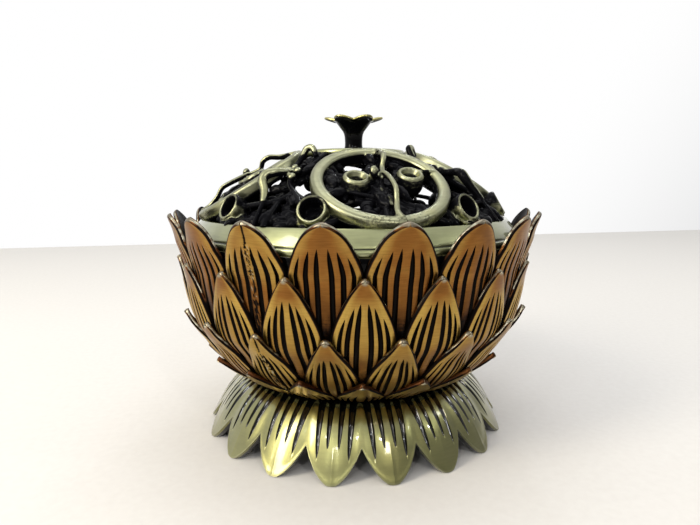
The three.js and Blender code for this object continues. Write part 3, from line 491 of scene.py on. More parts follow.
def petal(name, tier, seam=False):
    """One petal, at azimuth 0. A seam petal has the rough line where the mould's halves met."""
    table = down_the_tier(tier)
    length = table[-1][0]
    grooves = [(-s, d, w) for s, d, w in reversed(GROOVES[tier])] + list(GROOVES[tier])

    def surface(d, x, w, out):
        r, z, (nr, nz) = on_the_tier(table, d)
        share = x / w if w > 0.01 else 0.0
        out -= SAG[tier] * share ** 2 * ease(w, 0.5, 6)
        out += 0.3 * (1 - ease(d, 0, 4.5))
        return polar(x / r, r + nr * out, z + nz * out)

    def across(d, w):
        """The face at one row: (x, out, rub)."""
        edges = []
        for share, start, half in grooves:
            past = max(0.0, d - start)
            g = clamp(half * (1 - exp(-past / 1.9)), 0.012, 0.13 * w + 0.001)
            edges.append((share * w, g, min(0.6, 1.6 * g) if past else 0.0))

        def on_rib(k):
            shares = SEAM_RIB if seam and k == MIDDLE_RIB else RIB
            crown, beside = 0.07 * ease(d, 5, 7), 0.09 * ease(d, 5.5, 8.5)
            return [(t, crown * (1 - (2 * t - 1) ** 2), 1 - beside * (t in (shares[0], shares[-1])))
                    for t in shares]

        return carved(-w, w, edges, on_rib, 0.1)

    loops = []
    bevel, more = BEVELS[tier]
    for d in petal_rows(length):
        wide = on_the_tier(table, d)[0] * PITCH / 2 - 0.05
        full = min(OUTLINES[tier](d), wide)
        face = min(max(0.0, OUTLINES[tier](max(0.0, d - bevel)) - more * ease(d, 2, 8)), wide - 0.5)
        start = 1 - clamp(d / bevel)
        curl = mix(2.0, 1.2, ease(d, bevel, 3 * bevel))
        # Painted shade, partly patina: the face and its bright edge darken where the petal goes behind the
        # tier below.
        tucked = ease(d, 0.6 * length, 0.95 * length) if tier < 3 else 0.0
        tips, middle, low = GOLD[tier]
        gold = mix(mix(tips, middle, ease(d, 3, 8)), low, ease(d, 0.4 * length, 0.8 * length))
        rubbed = mix(*RUB_AND_SHADE[tier], ease(d, 2, 0.75 * length))
        loop = []
        for x, out, worn in across(d, face):
            out = -round_over(start) if start else out
            pinch = exp(-((d - 0.5) / 0.8) ** 2 - (x / 0.8) ** 2) * (tier > 0)
            out += 0.25 * pinch
            # Round the tip the face turns pale, and the nubs of the lower tiers paler still: partly rubbed
            # brass, partly a painted highlight where the tip catches the light.
            worn = mix(worn * rubbed, 1.2, start) + 0.25 * pinch
            if seam:
                here = Vector((x * 1.4, d * 1.4, tier * 7.0))
                ridge = exp(-((x - 0.15) / 0.8) ** 2) * ease(d, 3.5, 6.5)
                out += ridge * (0.2 + 0.4 * noise.noise(here * 1.3))
                line = exp(-((x - 0.05) / 0.26) ** 2)
                out -= 0.25 * line + 0.15 * ease(x, 0.0, 0.25) * (1 - ease(d, 5, 8)) * (1 - ease(x, 1, 4))
                ragged = ridge * clamp(2.6 * noise.noise(here * 2.1) - 0.1, -1.0, 0.5)
                worn += ragged - 0.8 * line * (1 - 0.5 * ridge)
            edge_gold = 0.4 * seam + (0.5 * ease(abs(x), 0.5 * face, face) if face else 0.3)
            loop.append((surface(d, x, full, out), worn - 0.6 * tucked, gold + edge_gold))
        # Bevel: black between the bright edge of the face and an uneven silvery outline, and silvery round
        # the tip. The outline is a painted highlight on the wet-looking black; the bright edge of the face
        # and the silver round the tip are partly rubbed brass and partly painted highlight. The bottom
        # tier's are painted fainter.
        bevel_brightness = 0.72 if tier == 3 else 1.0
        pale = 1.1 * (1 - ease(d, 0.4, 2.8)) * bevel_brightness
        uneven = 0.2 * noise.noise(Vector((tier * 9.0, d * 1.3, 0)))
        line = max(pale, (1.14 + uneven) * (1 - ease(d, 6, 11)) * bevel_brightness)
        rim = [(0.08, 1.06 - 0.7 * tucked), (0.18, 0.05 + pale)]
        rim += [(t, pale) for t in (0.32, 0.5, 0.66, 0.8)] + [(t, line) for t in (0.86, 0.93, 1.0)]
        walls = [(mix(face, full, t), -round_over(mix(start, 1, t ** curl)), worn) for t, worn in rim]
        loop += [(surface(d, x, full, out), worn, -1.0) for x, out, worn in walls]
        for share in (0.94, 0.6, 0.2, -0.2, -0.6, -0.94):
            loop.append((surface(d, share * full, full, -PETAL_THICK), 0.12))
        loop += [(surface(d, -x, full, out), worn, -1.0) for x, out, worn in reversed(walls)]
        loops.append(loop)
    shape = skin(loops)
    count = len(loops[0])
    shape.faces.append([(len(loops) - 1) * count + i for i in range(count)][::-1])
    return shape.mesh(name, weld=0.001, sharp=60)


def petal_tiers():
    for tier, level in enumerate(("top", "upper", "lower", "bottom")):
        name = f"petals_{level}"
        seam = petal(name + "_seam", tier, True) if tier % 2 == 0 else None
        ring = ring_of(name, petal(name, tier), PETAL_BRASS, seam, first=(tier % 2) * PITCH / 2,
                       every=9, which=7 if seam else -1)
        fit(ring, PETAL_BRASS, "base", "petal_brass", f"petal_tier_{level}")


petal_tiers()


# Share of the half pitch at the neck and at the groove's end, where along it ends, half-width at the neck
FOOT_GROOVES = ((0.76, 0.55, 0.88, 1.05), (0.27, 0.2, 0.74, 0.9))


def foot_height(r):
    return FOOT_HEIGHT * (1 - clamp((r - FOOT_NECK_R) / FOOT_REACH) ** FOOT_FLARE)


def foot_petal():
    """One petal of the foot with the half valleys either side of it; copies weld into the skirt."""
    grooves = [(-a, -b, e, w) for a, b, e, w in FOOT_GROOVES] + list(reversed(FOOT_GROOVES))
    alongs = [i / 32 for i in range(31)] + [0.965, 0.98, 0.99, 0.996, 1.0]

    def across(t, r):
        """(share of the half pitch, out, rub) for each place round the skirt."""
        half = r * PITCH / 2
        edges = []
        for start, point, end, wide in grooves:
            g = max(0.012, wide * clamp(1 - t / end) ** 0.36)
            deep = min(0.7, 1.4 * g) if t < end else 0.0
            edges.append((mix(start, point, clamp(t / end)), g / half, deep))

        def on_rib(k):
            shares = {0: (0.4, 0.85), 2: (0.08, 0.3, 0.44, 0.5, 0.56, 0.7, 0.92), 4: (0.15, 0.6, 1.0)}
            return [(u, 0.0, 1.0) for u in shares.get(k, (0.1, 0.5, 0.9))]

        return [(-1.0, 0.0, 1.0)] + carved(-1.0, 1.0, edges, on_rib, 0.12)

    loops = []
    for i, (edge_share, _, _) in enumerate(across(1.0, 38)):
        edge_z = max(0.0, mix(-0.2, FOOT_NOTCH_Z, abs(edge_share) ** 1.7))
        edge_r = FOOT_NECK_R + FOOT_REACH * (1 - edge_z / FOOT_HEIGHT) ** (1 / FOOT_FLARE)
        column = []
        for t in alongs:
            r = mix(FOOT_NECK_R, edge_r, t)
            share, out, worn = across(t, r)[i]
            flared = max(0.0, (r - FOOT_NECK_R) / FOOT_REACH) ** (FOOT_FLARE - 1)
            slope = atan(FOOT_HEIGHT * FOOT_FLARE / FOOT_REACH * flared)
            ridge = 0.05 * exp(-(share * r * PITCH / 2 / 0.3) ** 2) * ease(t, 0.62, 0.85)
            belly = 0.4 * (1 - abs(share) ** 2) * ease(t, 0.25, 0.7)
            lip = 0.06 * ease(t, 0.95, 0.985)
            # Painted shade: the foot turns black towards its neck, under the overhanging bowl. Right at the
            # lip it turns a little paler, partly rubbed edge and partly painted highlight.
            shade = ease(t, 0.05, 0.42)
            column.append((share * PITCH / 2, r, foot_height(r), slope, out + ridge + belly + lip,
                           worn * shade + 0.05 * ease(t, 0.98, 0.993)))
        azimuth = column[0][0]
        top = FOOT_HEIGHT - 0.05
        loop = [(polar(azimuth, FOOT_HOLE_R, top), 0.05), (polar(azimuth, FOOT_NECK_R - 0.6, top), 0.0)]
        for azimuth, r, z, slope, out, worn in column:
            loop.append((polar(azimuth, r + out * sin(slope), z + out * cos(slope)), worn))
        azimuth, r, z, slope, out, worn = column[-1]
        for drop, bulge, worn in ((-0.2, 0.1, 0.9), (-0.6, 0.12, 0.1), (-1.15, 0.05, 0.1)):
            low = max(0.0, z + drop * cos(slope) - bulge * sin(slope)) if z > 0.05 else 0.0
            loop.append((polar(azimuth, r + drop * sin(slope) + bulge * cos(slope), low), worn))
        for azimuth, r, z, slope, out, worn in column[::-4]:
            low = z - FOOT_WALL * cos(slope)
            inner_r = r - FOOT_WALL * sin(slope) - (0.9 if low < 0 else 0.0)
            loop.append((polar(azimuth, inner_r, max(0.0, low)), 0.15))
        azimuth = column[0][0]
        under = FOOT_HEIGHT - FOOT_WALL
        loop += [(polar(azimuth, FOOT_NECK_R - 2, under), 0.15), (polar(azimuth, FOOT_HOLE_R, under), 0.15)]
        loops.append(loop)
    return skin(loops[::-1]).mesh("foot_petal", weld=0.001, sharp=60)


fit(ring_of("foot", foot_petal(), PALE_BRASS, weld=0.01), PALE_BRASS, "base", "pale_brass", "foot_skirt")


def turned(name, profile, steps, material, body, slot, node, sharp=50):
    fit(new_object(name, lathe(profile, steps).mesh(name, sharp=sharp)), material, body, slot, node)


def bowl():
    """Turned shell over a bored spigot that sits in the foot."""
    heights = [FOOT_HEIGHT + BOWL_HEIGHT * k / 24 for k in range(25)]
    spigot = [(0, 17.4, 0), (2.3, 17.4, 0), (2.3, 14.3, 0), (5, 14.3, 0), (5, FOOT_HEIGHT, 0)]
    outer = [(bowl_radius(z) - 0.05, z, 0.0) for z in heights]
    rim = [(45.4, 52.0, 0.2), (45.2, 52.4, 0.5), (44.8, BOWL_RIM_Z, 0.4), (44.2, BOWL_RIM_Z, 0.4),
           (43.7, 52.3, 0.3)]
    inner = [(bowl_radius(z) - BOWL_WALL, z, 0.1) for z in heights if z > 19.5][::-1]
    floor = [(28.2, 18.9, 0.1), (26.5, 18.3, 0.1), (24, BOWL_FLOOR_Z, 0.1), (0, BOWL_FLOOR_Z, 0.1)]
    profile = rounded(spigot, 0.1, 2) + outer[:-1] + rim + inner[1:] + floor
    turned("bowl", profile, 128, DARK_BRASS, "base", "dark_brass", "bowl_shell")


bowl()


def drilled(name, shape, cutters):
    """The shape with the cutters taken out of it."""
    piece = new_object(name + "_blank", shape.mesh(name))
    tools = new_object(name + "_tools", cutters.mesh(name + "_tools"))
    cut = piece.modifiers.new("cut", "BOOLEAN")
    cut.operation = "DIFFERENCE"
    cut.solver = "EXACT"
    cut.object = tools
    made = baked(name, piece)
    bpy.data.objects.remove(tools)
    return made


def holder():
    """Round stand whose raised middle has nine holes for sticks."""
    low, step, top = BOWL_FLOOR_Z, 19.7, 26.1
    body = lathe(rounded([(0, low), (16, low, 0.2), (16, step, 0.9), (9.4, step, 0.5), (8, 20.9, 0.4),
                          (8, top, 0.95), (0, top, 0.8)], 0.55), 96)
    pin = lathe([(0, top - 5, 0), (1.3, top - 5, 0), (1.3, top - 0.35, 0.1), (1.6, top + 0.05, 0.9),
                 (1.6, top + 1, 0.9), (0, top + 1, 0.9)], 24)
    holes = Shape()
    for i in range(9):
        at = polar(2 * pi * i / 8, 5.2, 0) if i < 8 else Vector((0, 0, 0))
        holes.add([p + at for p in pin.points], pin.faces, pin.rub)
    fit(drilled("incense_holder_disc", body, holes), PALE_BRASS, "holder", "pale_brass", "incense_holder")


holder()


def box(low, high):
    (x0, y0, z0), (x1, y1, z1) = low, high
    points = [(x, y, z) for z in (z0, z1) for x, y in ((x0, y0), (x1, y0), (x1, y1), (x0, y1))]
    faces = [[0, 3, 2, 1], [4, 5, 6, 7], [0, 1, 5, 4], [1, 2, 6, 5], [2, 3, 7, 6], [3, 0, 4, 7]]
    return Shape().add(points, faces)


def slotted_screw(body, node, shank, head, under, height, tip):
    """Screw that points up, with its slotted head under what it holds."""
    blank = lathe(rounded([(0, under - height), (head * 0.7, under - height), (head, under - height * 0.7),
                           (head, under), (shank, under), (shank, tip), (0, tip)], 0.3), 48)
    slot = box((-head - 1, -head * 0.13, under - height - 1), (head + 1, head * 0.13, under - height * 0.6))
    fit(drilled(node + "_slotted", blank, slot), STEEL, body, "steel", node)


def plain_washer(body, node, bore, outer, under, thick):
    over = under + thick
    profile = rounded([(bore, under), (outer, under), (outer, over), (bore, over)], 0.15)
    turned(node + "_plain", profile, 64, STEEL, body, "steel", node)


slotted_screw("base", "foot_screw", 2.0, 3.8, 13.0, 2.4, 17.1)
plain_washer("base", "foot_washer", 2.3, 9.0, 13.0, 1.0)
slotted_screw("lid", "knob_screw", 1.2, 2.5, 73.3, 1.6, 79.0)
plain_washer("lid", "knob_washer", 1.5, 3.6, 73.3, 0.5)


def lid_rim():
    """Spigot, thin flange and sloping band, turned in one."""
    spigot = [(40.4, 50.2, 0.1), (40.7, 49.9, 0.1), (42.6, 49.9, 0.1), (43.0, 50.3, 0.1),
              (43.0, BOWL_RIM_Z, 0.1)]
    flange = [(45.1, BOWL_RIM_Z, 0.2), (45.35, 52.65, 0.9), (45.45, 52.95, 1.0), (45.4, 53.4, 1.0),
              (45.15, 53.75, 1.0), (44.75, 53.85, 0.7), (44.45, 53.85, 0.15), (44.3, 53.95, 0.2)]
    band = []
    for k in range(9):
        t = k / 8
        band.append((mix(44.3, 41.7, t) + 0.12 * sin(pi * t), mix(54.15, 57.7, t), 1.0))
    top = [(41.55, 57.86, 1.0), (41.3, 57.93, 1.0), (40.7, 57.93, 0.9), (40.45, 57.8, 0.6),
           (40.4, 57.5, 0.3)]
    profile = spigot + flange + band + top
    turned("lid_rim_band", profile, 160, RIM_BRASS, "lid", "rim_brass", "lid_rim", sharp=40)


lid_rim()


def lid_crown():
    """Bored disc with a rolled edge and a raised middle under the knob."""
    edge = []
    for k in range(13):
        a = pi * (k / 12 - 0.5)
        edge.append((13.25 + 0.95 * cos(a), 74.9 + 0.98 * sin(a), 1.0 if k > 2 else 0.4))
    face = [(12.6, 75.75, 0.9), (12.0, 75.35, 0.35), (11.4, 75.2, 0.2), (6.4, 75.2, 0.35), (5.4, 75.3, 0.3),
            (4.6, 75.55, 0.6), (4.3, 75.95, 0.9), (3.9, 76.1, 0.8), (1.5, 76.1, 0.2)]
    profile = [(1.5, 73.8, 0.1), (12.0, 73.8, 0.1)] + edge + face
    turned("lid_crown_disc", profile, 96, RIM_BRASS, "lid", "openwork_brass", "lid_crown")


lid_crown()


# The dome's slope, the middle of its slanted panels, and the directions up and out of the front one
SLOPE = radians(31.6)
MIDDLE_R, MIDDLE_Z = 27.95, 66.375
MEDALLION = Vector((0, -MIDDLE_R, MIDDLE_Z))
UP = polar(0, -cos(SLOPE), sin(SLOPE))
OUT = polar(0, sin(SLOPE), cos(SLOPE))
LYING = Matrix((Vector((1, 0, 0)), UP, OUT)).transposed()
STEM_SIDES = 10
STEM_STEPS = 6


def tube(points, radii):
    """Closed round stem through the points, with its radius changing along them."""
    path = []
    count = len(points)
    for i in range(count - 1):
        p0, p1, p2, p3 = (points[clamp(i + k, 0, count - 1)] for k in (-1, 0, 1, 2))
        for k in range(STEM_STEPS):
            t = k / STEM_STEPS
            path.append((0.5 * (2 * p1 + (p2 - p0) * t + (2 * p0 - 5 * p1 + 4 * p2 - p3) * t * t
                                + (3 * p1 - p0 - 3 * p2 + p3) * t ** 3), mix(radii[i], radii[i + 1], t)))
    path.append((points[-1], radii[-1]))
    ring, faces = [], []
    side = Vector((0.3, 0.2, 0.93))
    for i, (at, radius) in enumerate(path):
        ahead = (path[min(i + 1, len(path) - 1)][0] - path[max(i - 1, 0)][0]).normalized()
        side = (side - ahead * side.dot(ahead)).normalized()
        other = ahead.cross(side)
        for k in range(STEM_SIDES):
            a = 2 * pi * k / STEM_SIDES
            ring.append(at + (side * cos(a) + other * sin(a)) * radius)
    for low in range(0, len(ring) - STEM_SIDES, STEM_SIDES):
        for k in range(STEM_SIDES):
            after = (k + 1) % STEM_SIDES
            faces.append([low + k, low + after, low + STEM_SIDES + after, low + STEM_SIDES + k])
    faces.append(list(range(STEM_SIDES))[::-1])
    faces.append(list(range(len(ring) - STEM_SIDES, len(ring))))
    return Shape().add(ring, faces)


def pebble(centre, axes, turn, bumps, pointed, detail=3):
    """Bead, bud or leaf: a ball with three half-sizes, bumps, and pointed ends on a leaf."""
    work = bmesh.new()
    bmesh.ops.create_icosphere(work, subdivisions=detail, radius=1.0)
    points = []
    for vert in work.verts:
        grown = vert.co * (1 + bumps * noise.noise(vert.co * 3.1 + centre))
        grown.y *= 1 - pointed * grown.x ** 2
        points.append(centre + turn @ Vector((c * a for c, a in zip(grown, axes))))
    faces = [[v.index for v in face.verts] for face in work.faces]
    work.free()
    return Shape().add(points, faces)


def stem(at, radii, *places):
    """Stem through places in a panel of the dome."""
    return tube([at(*place) for place in places], radii)


def leaf(at, place, axes, spin, bumps=0.3, pointed=0.5):
    """Leaf, bud or bead that lies on a panel of the dome."""
    return pebble(at(*place), axes, LYING @ Matrix.Rotation(spin, 3, "Z"), bumps, pointed)


def foliage(at, inside, holes, seed):
    """Small cast leaves that fill a panel of the dome, apart from its holes (x, y, half-sizes)."""
    chance = random.Random(seed)
    shapes = []
    for j in range(-8, 9):
        for i in range(-8, 9):
            x = (i + 0.5 * (j % 2)) * 2.5 + chance.uniform(-0.5, 0.5)
            y = j * 2.1 + chance.uniform(-0.5, 0.5)
            spin = chance.uniform(0, pi)
            lean = chance.uniform(-0.6, 0.6)
            lift = chance.uniform(-0.5, 0.4)
            clear = all(((x - hole_x) / (half_x + 1.4)) ** 2 + ((y - hole_y) / (half_y + 1.9)) ** 2 > 1
                        for hole_x, hole_y, half_x, half_y in holes)
            if clear and inside(x, y):
                turn = LYING @ Matrix.Rotation(spin, 3, "Z") @ Matrix.Rotation(lean, 3, "X")
                shapes.append(pebble(at(x, y, lift - 0.9), (2.3, 1.45, 1.05), turn, 0.25, 0.5, 2))
    return shapes


def cup(profile, centre, axis):
    """Open blossom turned round its axis, which runs through its mouth."""
    body = lathe(rounded(profile, 0.9, 3), 40)
    turn = Vector((0, 0, 1)).rotation_difference(axis)
    return Shape().add([centre + turn @ p for p in body.points], body.faces)


CAST_GRAIN = 0.21


def cast(name, shapes):
    """Shapes melted into one casting with soft joints."""
    joined = Shape()
    for shape in shapes:
        joined.add(shape.points, shape.faces)
    piece = new_object(name, joined.mesh(name, weld=0.0001))
    melt = piece.modifiers.new("melt", "REMESH")
    melt.mode = "VOXEL"
    melt.voxel_size = CAST_GRAIN * MM
    melt.use_smooth_shade = True
    soften = piece.modifiers.new("soften", "SMOOTH")
    soften.factor = 0.5
    soften.iterations = 4
    return baked(name, piece)


def four_round(casting, worn, kind, sides, first_turn):
    """Rubs a casting of the dome by each point's place (mm) and normal, with any painted shade that worn
    gives, and fits four turned copies.
    """
    rub = casting.data.attributes.new("rub", "FLOAT", "POINT")
    rub.data.foreach_set("value", [clamp(worn(v.co / MM, v.normal)) for v in casting.data.vertices])
    for k, side in enumerate(sides):
        mesh = casting.data.copy()
        mesh.name = f"{kind}_{side}"
        mesh.transform(Matrix.Rotation(first_turn + k * pi / 2, 4, "Z"))
        copy = new_object(f"{kind}_{side}", mesh)
        fit(copy, OPENWORK_BRASS, "lid", "openwork_brass", f"lid_{kind}_{k + 1}")
    bpy.data.objects.remove(casting)


def in_medallion(x, y, out):
    return MEDALLION + Vector((x, 0, 0)) + UP * y + OUT * out


# See-through places between the leaves: x, y and half-sizes
MEDALLION_HOLES = ((10.4, -1.0, 3.0, 4.4), (-4.1, 11.0, 2.7, 3.3), (-7.7, -7.6, 1.3, 3.4),
                   (4.1, 8.0, 0.4, 0.6), (8.8, 10.6, 0.3, 0.5))
SPRAY_HOLES = ((3.9, 0.1, 3.2, 3.3), (-6.6, -6.1, 3.2, 2.8), (-3.1, -3.2, 0.8, 1.0), (1.4, -8.0, 0.4, 0.6),
               (-1.3, 8.5, 0.4, 0.7))
MEDALLION_CUPS = ((-5.8, 0.2), (7.3, 1.5))
SPRAY_CUPS = ((-10.4, -10.9), (12.4, -10.9))
CUP_REACH = 4.4
# A spray's lowest and highest places, and how close it comes to the middle of a medallion
SPRAY_LOW, SPRAY_HIGH, BESIDE_MEDALLION = -14.6, 14.8, 15.4


def medallions():
    """A ring with an S-shaped stem, two cups, a bud and leaves inside it."""
    at = in_medallion
    ring_inside, ring_middle = 13.1, 14.6
    # Ring: a broad rounded face over upright side walls
    section = [(13.2, -1.6), (16.1, -1.6), (16.25, -0.2)]
    for k in range(1, 14):
        a = pi * k / 14
        section.append((14.7 + copysign(abs(cos(a)) ** 0.8, cos(a)) * 1.55,
                        0.4 + 1.25 * sin(a) ** 0.8))
    section.append((13.15, -0.2))
    ring = lathe(section, 144)
    ring.points = [MEDALLION + LYING @ p for p in ring.points]

    def on_ring(x, y, out):
        return (*(Vector((x, y)).normalized() * ring_middle), out)

    blossom = [(1.6, -2.6), (2.7, -2.3), (3.25, -1.2), (3.5, 0.3), (3.4, 1.5), (3.1, 2.3), (2.8, 2.7),
               (2.45, 2.85), (2.2, 2.6), (1.9, 2.0), (1.5, 1.2), (1.1, 0.3), (0.9, -0.8)]
    axis = (OUT + Vector((0, 0, 0.1))).normalized()
    shapes = [
        ring,
        stem(at, [1.0, 0.85, 0.75, 0.75, 0.7, 0.65, 0.65], on_ring(2.4, 14, 0.9), (2.4, 12, 1.8),
             (2.2, 9.8, 2.8), (1.9, 7.8, 4.0), (1.5, 5.8, 3.9), (1.0, 4.2, 2.6), (0.5, 1.5, 2.8)),
        stem(at, [0.5, 0.65, 0.7, 0.68, 0.66, 0.66, 0.75, 1.1], (-0.6, 1.2, 2.2), (0.5, 0.9, 3.1),
             (1.2, -1.4, 3.4), (1.4, -4.5, 3.7), (1.35, -7.0, 3.7), (1.15, -9.3, 2.4), (0.75, -12.2, 1.4),
             on_ring(1.3, -14, 1.0)),
        tube([at(-2.0, 0.6, 1.2), at(-1.9, 0.4, 3.0) + Vector((0, 0, 0.4))], [0.95, 0.75]),
        pebble(at(-1.9, 0.6, 3.6), (1.05, 1.05, 1.4), Matrix.Identity(3), 0.2, 0),
        cup(blossom, at(*MEDALLION_CUPS[0], 0), axis),
        cup(blossom, at(*MEDALLION_CUPS[1], 0), axis),
        stem(at, [0.9, 0.55, 0.5], (-3.9, 0, 0.6), (-1.8, 0.8, 1.7), (0.4, 1.0, 2.8)),
        stem(at, [0.9, 0.6, 0.5], (4.6, 1.2, 0.4), (2.8, 0.4, 1.4), (1.0, 0, 2.7)),
        stem(at, [0.55, 0.45, 0.7], (9.4, 3.0, 2.0), (11.6, 3.7, 1.8), on_ring(14, 4.2, 1.2)),
        stem(at, [0.55] * 3, (-0.4, -2.4, 0.8), (-0.2, -0.6, 1.8), (0.3, 0.8, 2.7)),
        leaf(at, (-0.9, -5.4, 0.8), (2.0, 4.4, 1.7), 0.1, 0.5, 0),
        leaf(at, (4.3, -3.6, 0.6), (1.1, 3.2, 1.2), 0.25, 0.15, 0.4),
        leaf(at, (-10.4, -3.0, 0.4), (2.6, 1.4, 1.0), 0.3),
        leaf(at, (-11.2, 1.6, 0.3), (1.4, 2.6, 0.9), 0.2),
        leaf(at, (0.2, 11.6, 0.5), (1.2, 2.4, 1.0), 0.3),
        leaf(at, (-1.6, 5.8, 0.6), (1.1, 2.6, 1.0), -0.2),
        stem(at, [0.7] * 3, (-1, -9, 0.4), (-1.3, -11.6, 0.3), on_ring(-1.4, -14, 0)),
        stem(at, [0.5] * 3, (-9, -2.4, 0.4), (-4.4, -4.6, 0.6), (-1.4, -6, 0.4)),
    ] + foliage(at, lambda x, y: hypot(x, y) < 13.9, MEDALLION_HOLES, 4)
    casting = cast("medallion", shapes)

    def worn(p, n):
        local = p - MEDALLION
        x, y, out = local.x, local.dot(UP), local.dot(OUT)
        facing = ease(n.dot(OUT), 0.2, 0.65)
        across = hypot(x, y)
        if across > ring_inside:
            scrape = 1 - 0.45 * ease(-y, 11.5, 14.0) * ease(noise.noise(p * 1.7) + 0.3, 0, 0.4)
            side = ease(n.dot(Vector((x, 0, 0)) + UP * y) / across, 0.2, 0.7) * ease(out, -1.5, -0.4)
            return max(facing * ease(out, 0.0, 0.6), 0.85 * side) * scrape
        lower = ease(-y, 6.5, 9.5) * (1 - ease(abs(x - 1.1), 1.0, 1.7))
        proud = ease(out, 2.1 - 1.3 * lower, 3.0 - 1.7 * lower)
        for centre in MEDALLION_CUPS:
            from_cup = p - at(*centre, 0)
            if from_cup.length < CUP_REACH:
                high = from_cup.dot(axis)
                flat = from_cup - axis * high
                lip = ease(high, 1.7, 2.5) * ease(flat.length, 1.7, 2.3)
                inside = ease(-n.dot(flat.normalized()), 0.1, 0.5) * ease(high, 1.2, 2.1)
                return max(0.95 * lip, inside, 0.32 * ease(-n.y, 0.1, 0.9) * ease(high, -1.6, 1.0))
        return max(proud * facing, 0.5 * proud * ease(n.z, 0.0, 0.7))

    four_round(casting, worn, "medallion", ("front", "right", "back", "left"), 0)


medallions()


def in_spray(side, up, out):
    """Place in a spray at azimuth 0: side is an arc round the dome."""
    r = MIDDLE_R - up * cos(SLOPE)
    z = MIDDLE_Z + up * sin(SLOPE)
    return polar(side / r, r + out * sin(SLOPE), z + out * cos(SLOPE))


def between_medallions(side, up):
    """Whether a place is between band and crown and outside the medallions on both sides."""
    if not SPRAY_LOW < up < SPRAY_HIGH:
        return False
    place = in_spray(side, up, 0)
    for turn in (-pi / 4, pi / 4):
        local = Matrix.Rotation(turn, 3, "Z") @ place - MEDALLION
        if hypot(local.x, local.dot(UP)) < BESIDE_MEDALLION:
            return False
    return abs(side) < 0.62 * place.xy.length


def sprays():
    """Two cups by the band, an arched tendril, beads, leaves, and stems to band and crown."""
    at = in_spray
    rise = radians(30)
    bell = [(1.2, -2.9), (2.4, -2.8), (3.15, -1.8), (3.5, -0.2), (3.6, 1.3), (3.5, 2.1), (3.25, 2.6),
            (2.95, 2.72), (2.7, 2.5), (2.5, 1.9), (2.4, 0.2), (1.9, -1.4)]
    shapes = foliage(at, between_medallions, SPRAY_HOLES, 9)
    mouths = []
    for side, up in SPRAY_CUPS:
        turn = side / (MIDDLE_R - up * cos(SLOPE))
        mouths.append((at(side, up, 0), polar(turn, cos(rise), sin(rise))))
        shapes.append(cup(bell, *mouths[-1]))
    shapes += [
        stem(at, [0.8, 1.0, 1.2, 1.25, 1.1, 0.9, 0.85], (-0.5, -9.7, 1.9), (-1.5, -7, 3.1), (-3, -4.7, 4.5),
             (-2.8, -2.9, 5.1), (-1.4, -1.0, 4.6), (-0.6, 0.9, 3.4), (-1.3, 2.4, 2.3)),
        stem(at, [0.6, 0.5, 0.6], (-0.5, -9.5, 1.8), (-0.4, -12.5, 0.9), (0, -16.0, -0.4)),
        stem(at, [0.7, 0.7, 0.8], (-0.6, -9.6, 1.6), (-4.5, -9.6, 1), (-7.6, -10, 0.6)),
        stem(at, [0.6, 0.7, 0.7, 0.75, 0.8], (-1.3, 2.4, 1.8), (0, 0.6, 1.5), (1.4, -1.6, 1.3),
             (3.7, -3.9, 1), (9.2, -9.6, 0.4)),
        stem(at, [0.7, 0.6, 0.6], (3.7, -3.9, 1), (2.6, -6.8, 1), (-0.4, -9.5, 1.4)),
        stem(at, [0.7, 0.8, 0.9], (2, -7.6, 0.8), (2.5, -12.9, 0.3), (2.9, -16.0, -0.4)),
        stem(at, [0.6, 0.6, 0.75, 0.85, 0.9, 0.85, 0.7], (-1.3, 2.4, 1.8), (-2.6, 5.8, 1.2),
             (-3.2, 9.2, 1.2), (-2.7, 11.2, 2.0), (-2.2, 13.0, 2.9), (-0.7, 13.4, 2.9), (0.6, 12.0, 1.2)),
        stem(at, [0.6, 0.7, 0.7, 0.8], (-1, 2.6, 1.4), (0.8, 4.4, 0.6), (0.9, 9.3, 0.5), (0.8, 15.6, -0.2)),
        leaf(at, (-1.3, 2.6, 2.5), (1.3, 1.3, 1.1), 0, 0.3, 0),
    ]
    for bead in ((0.8, 0.7, 2.2), (0.6, 3.6, 2.0), (-1.1, 5, 2.0), (-3.6, 4.3, 2.0)):
        shapes.append(leaf(at, bead, (1.1, 1.1, 1.0), 0, 0.2, 0))
    shapes += [
        leaf(at, (1.9, 6.4, 1.0), (1.2, 2.3, 1.0), -0.4),
        leaf(at, (-0.6, 10.2, 0.8), (1.1, 2.2, 0.9), 0.4),
        leaf(at, (4.9, -6.6, 0.6), (1.5, 2.6, 0.9), 0.6),
        leaf(at, (0.4, -7.2, 0.9), (2.4, 1.1, 0.9), -0.3),
        leaf(at, (1.9, -12.6, 0.5), (1.0, 2.8, 0.9), -0.1),
    ]
    casting = cast("spray", shapes)

    def worn(p, n):
        for centre, axis in mouths:
            if (p - centre).length < CUP_REACH + 0.2:
                along = (p - centre).dot(axis)
                flat = (p - centre) - axis * along
                low = ease(-flat.z / max(flat.length, 0.1), -0.6, 0.5)
                wall = ease(n.dot(flat.normalized()), 0.1, 0.7)
                lip = (0.45 + 0.6 * low) * ease(along, 1.9, 2.5) * ease(n.dot(axis), 0.3, 0.8)
                return max(lip, 0.95 * low * wall * ease(along, -1.2, 0.8))
        r = hypot(p.x, p.y)
        turn = atan2(p.x, -p.y)
        out_way = polar(turn, sin(SLOPE), cos(SLOPE))
        out = (r - MIDDLE_R) * sin(SLOPE) + (p.z - MIDDLE_Z) * cos(SLOPE)
        # Painted shade: the sides of the stems that face round the dome towards smaller azimuths are left
        # black, so that one side of each spray reads as turned from the light.
        painted_side_shade = ease(n.dot(Vector((cos(turn), sin(turn), 0))), -0.6, 0.1)
        return ease(n.dot(out_way), -0.1, 0.6) * ease(out, 1.9, 3.2) * painted_side_shade

    four_round(casting, worn, "spray", ("front_right", "back_right", "back_left", "front_left"), pi / 4)


sprays()


KNOB_LOBES = 6
KNOB_TURN = radians(17)
KNOB_STEPS = 168


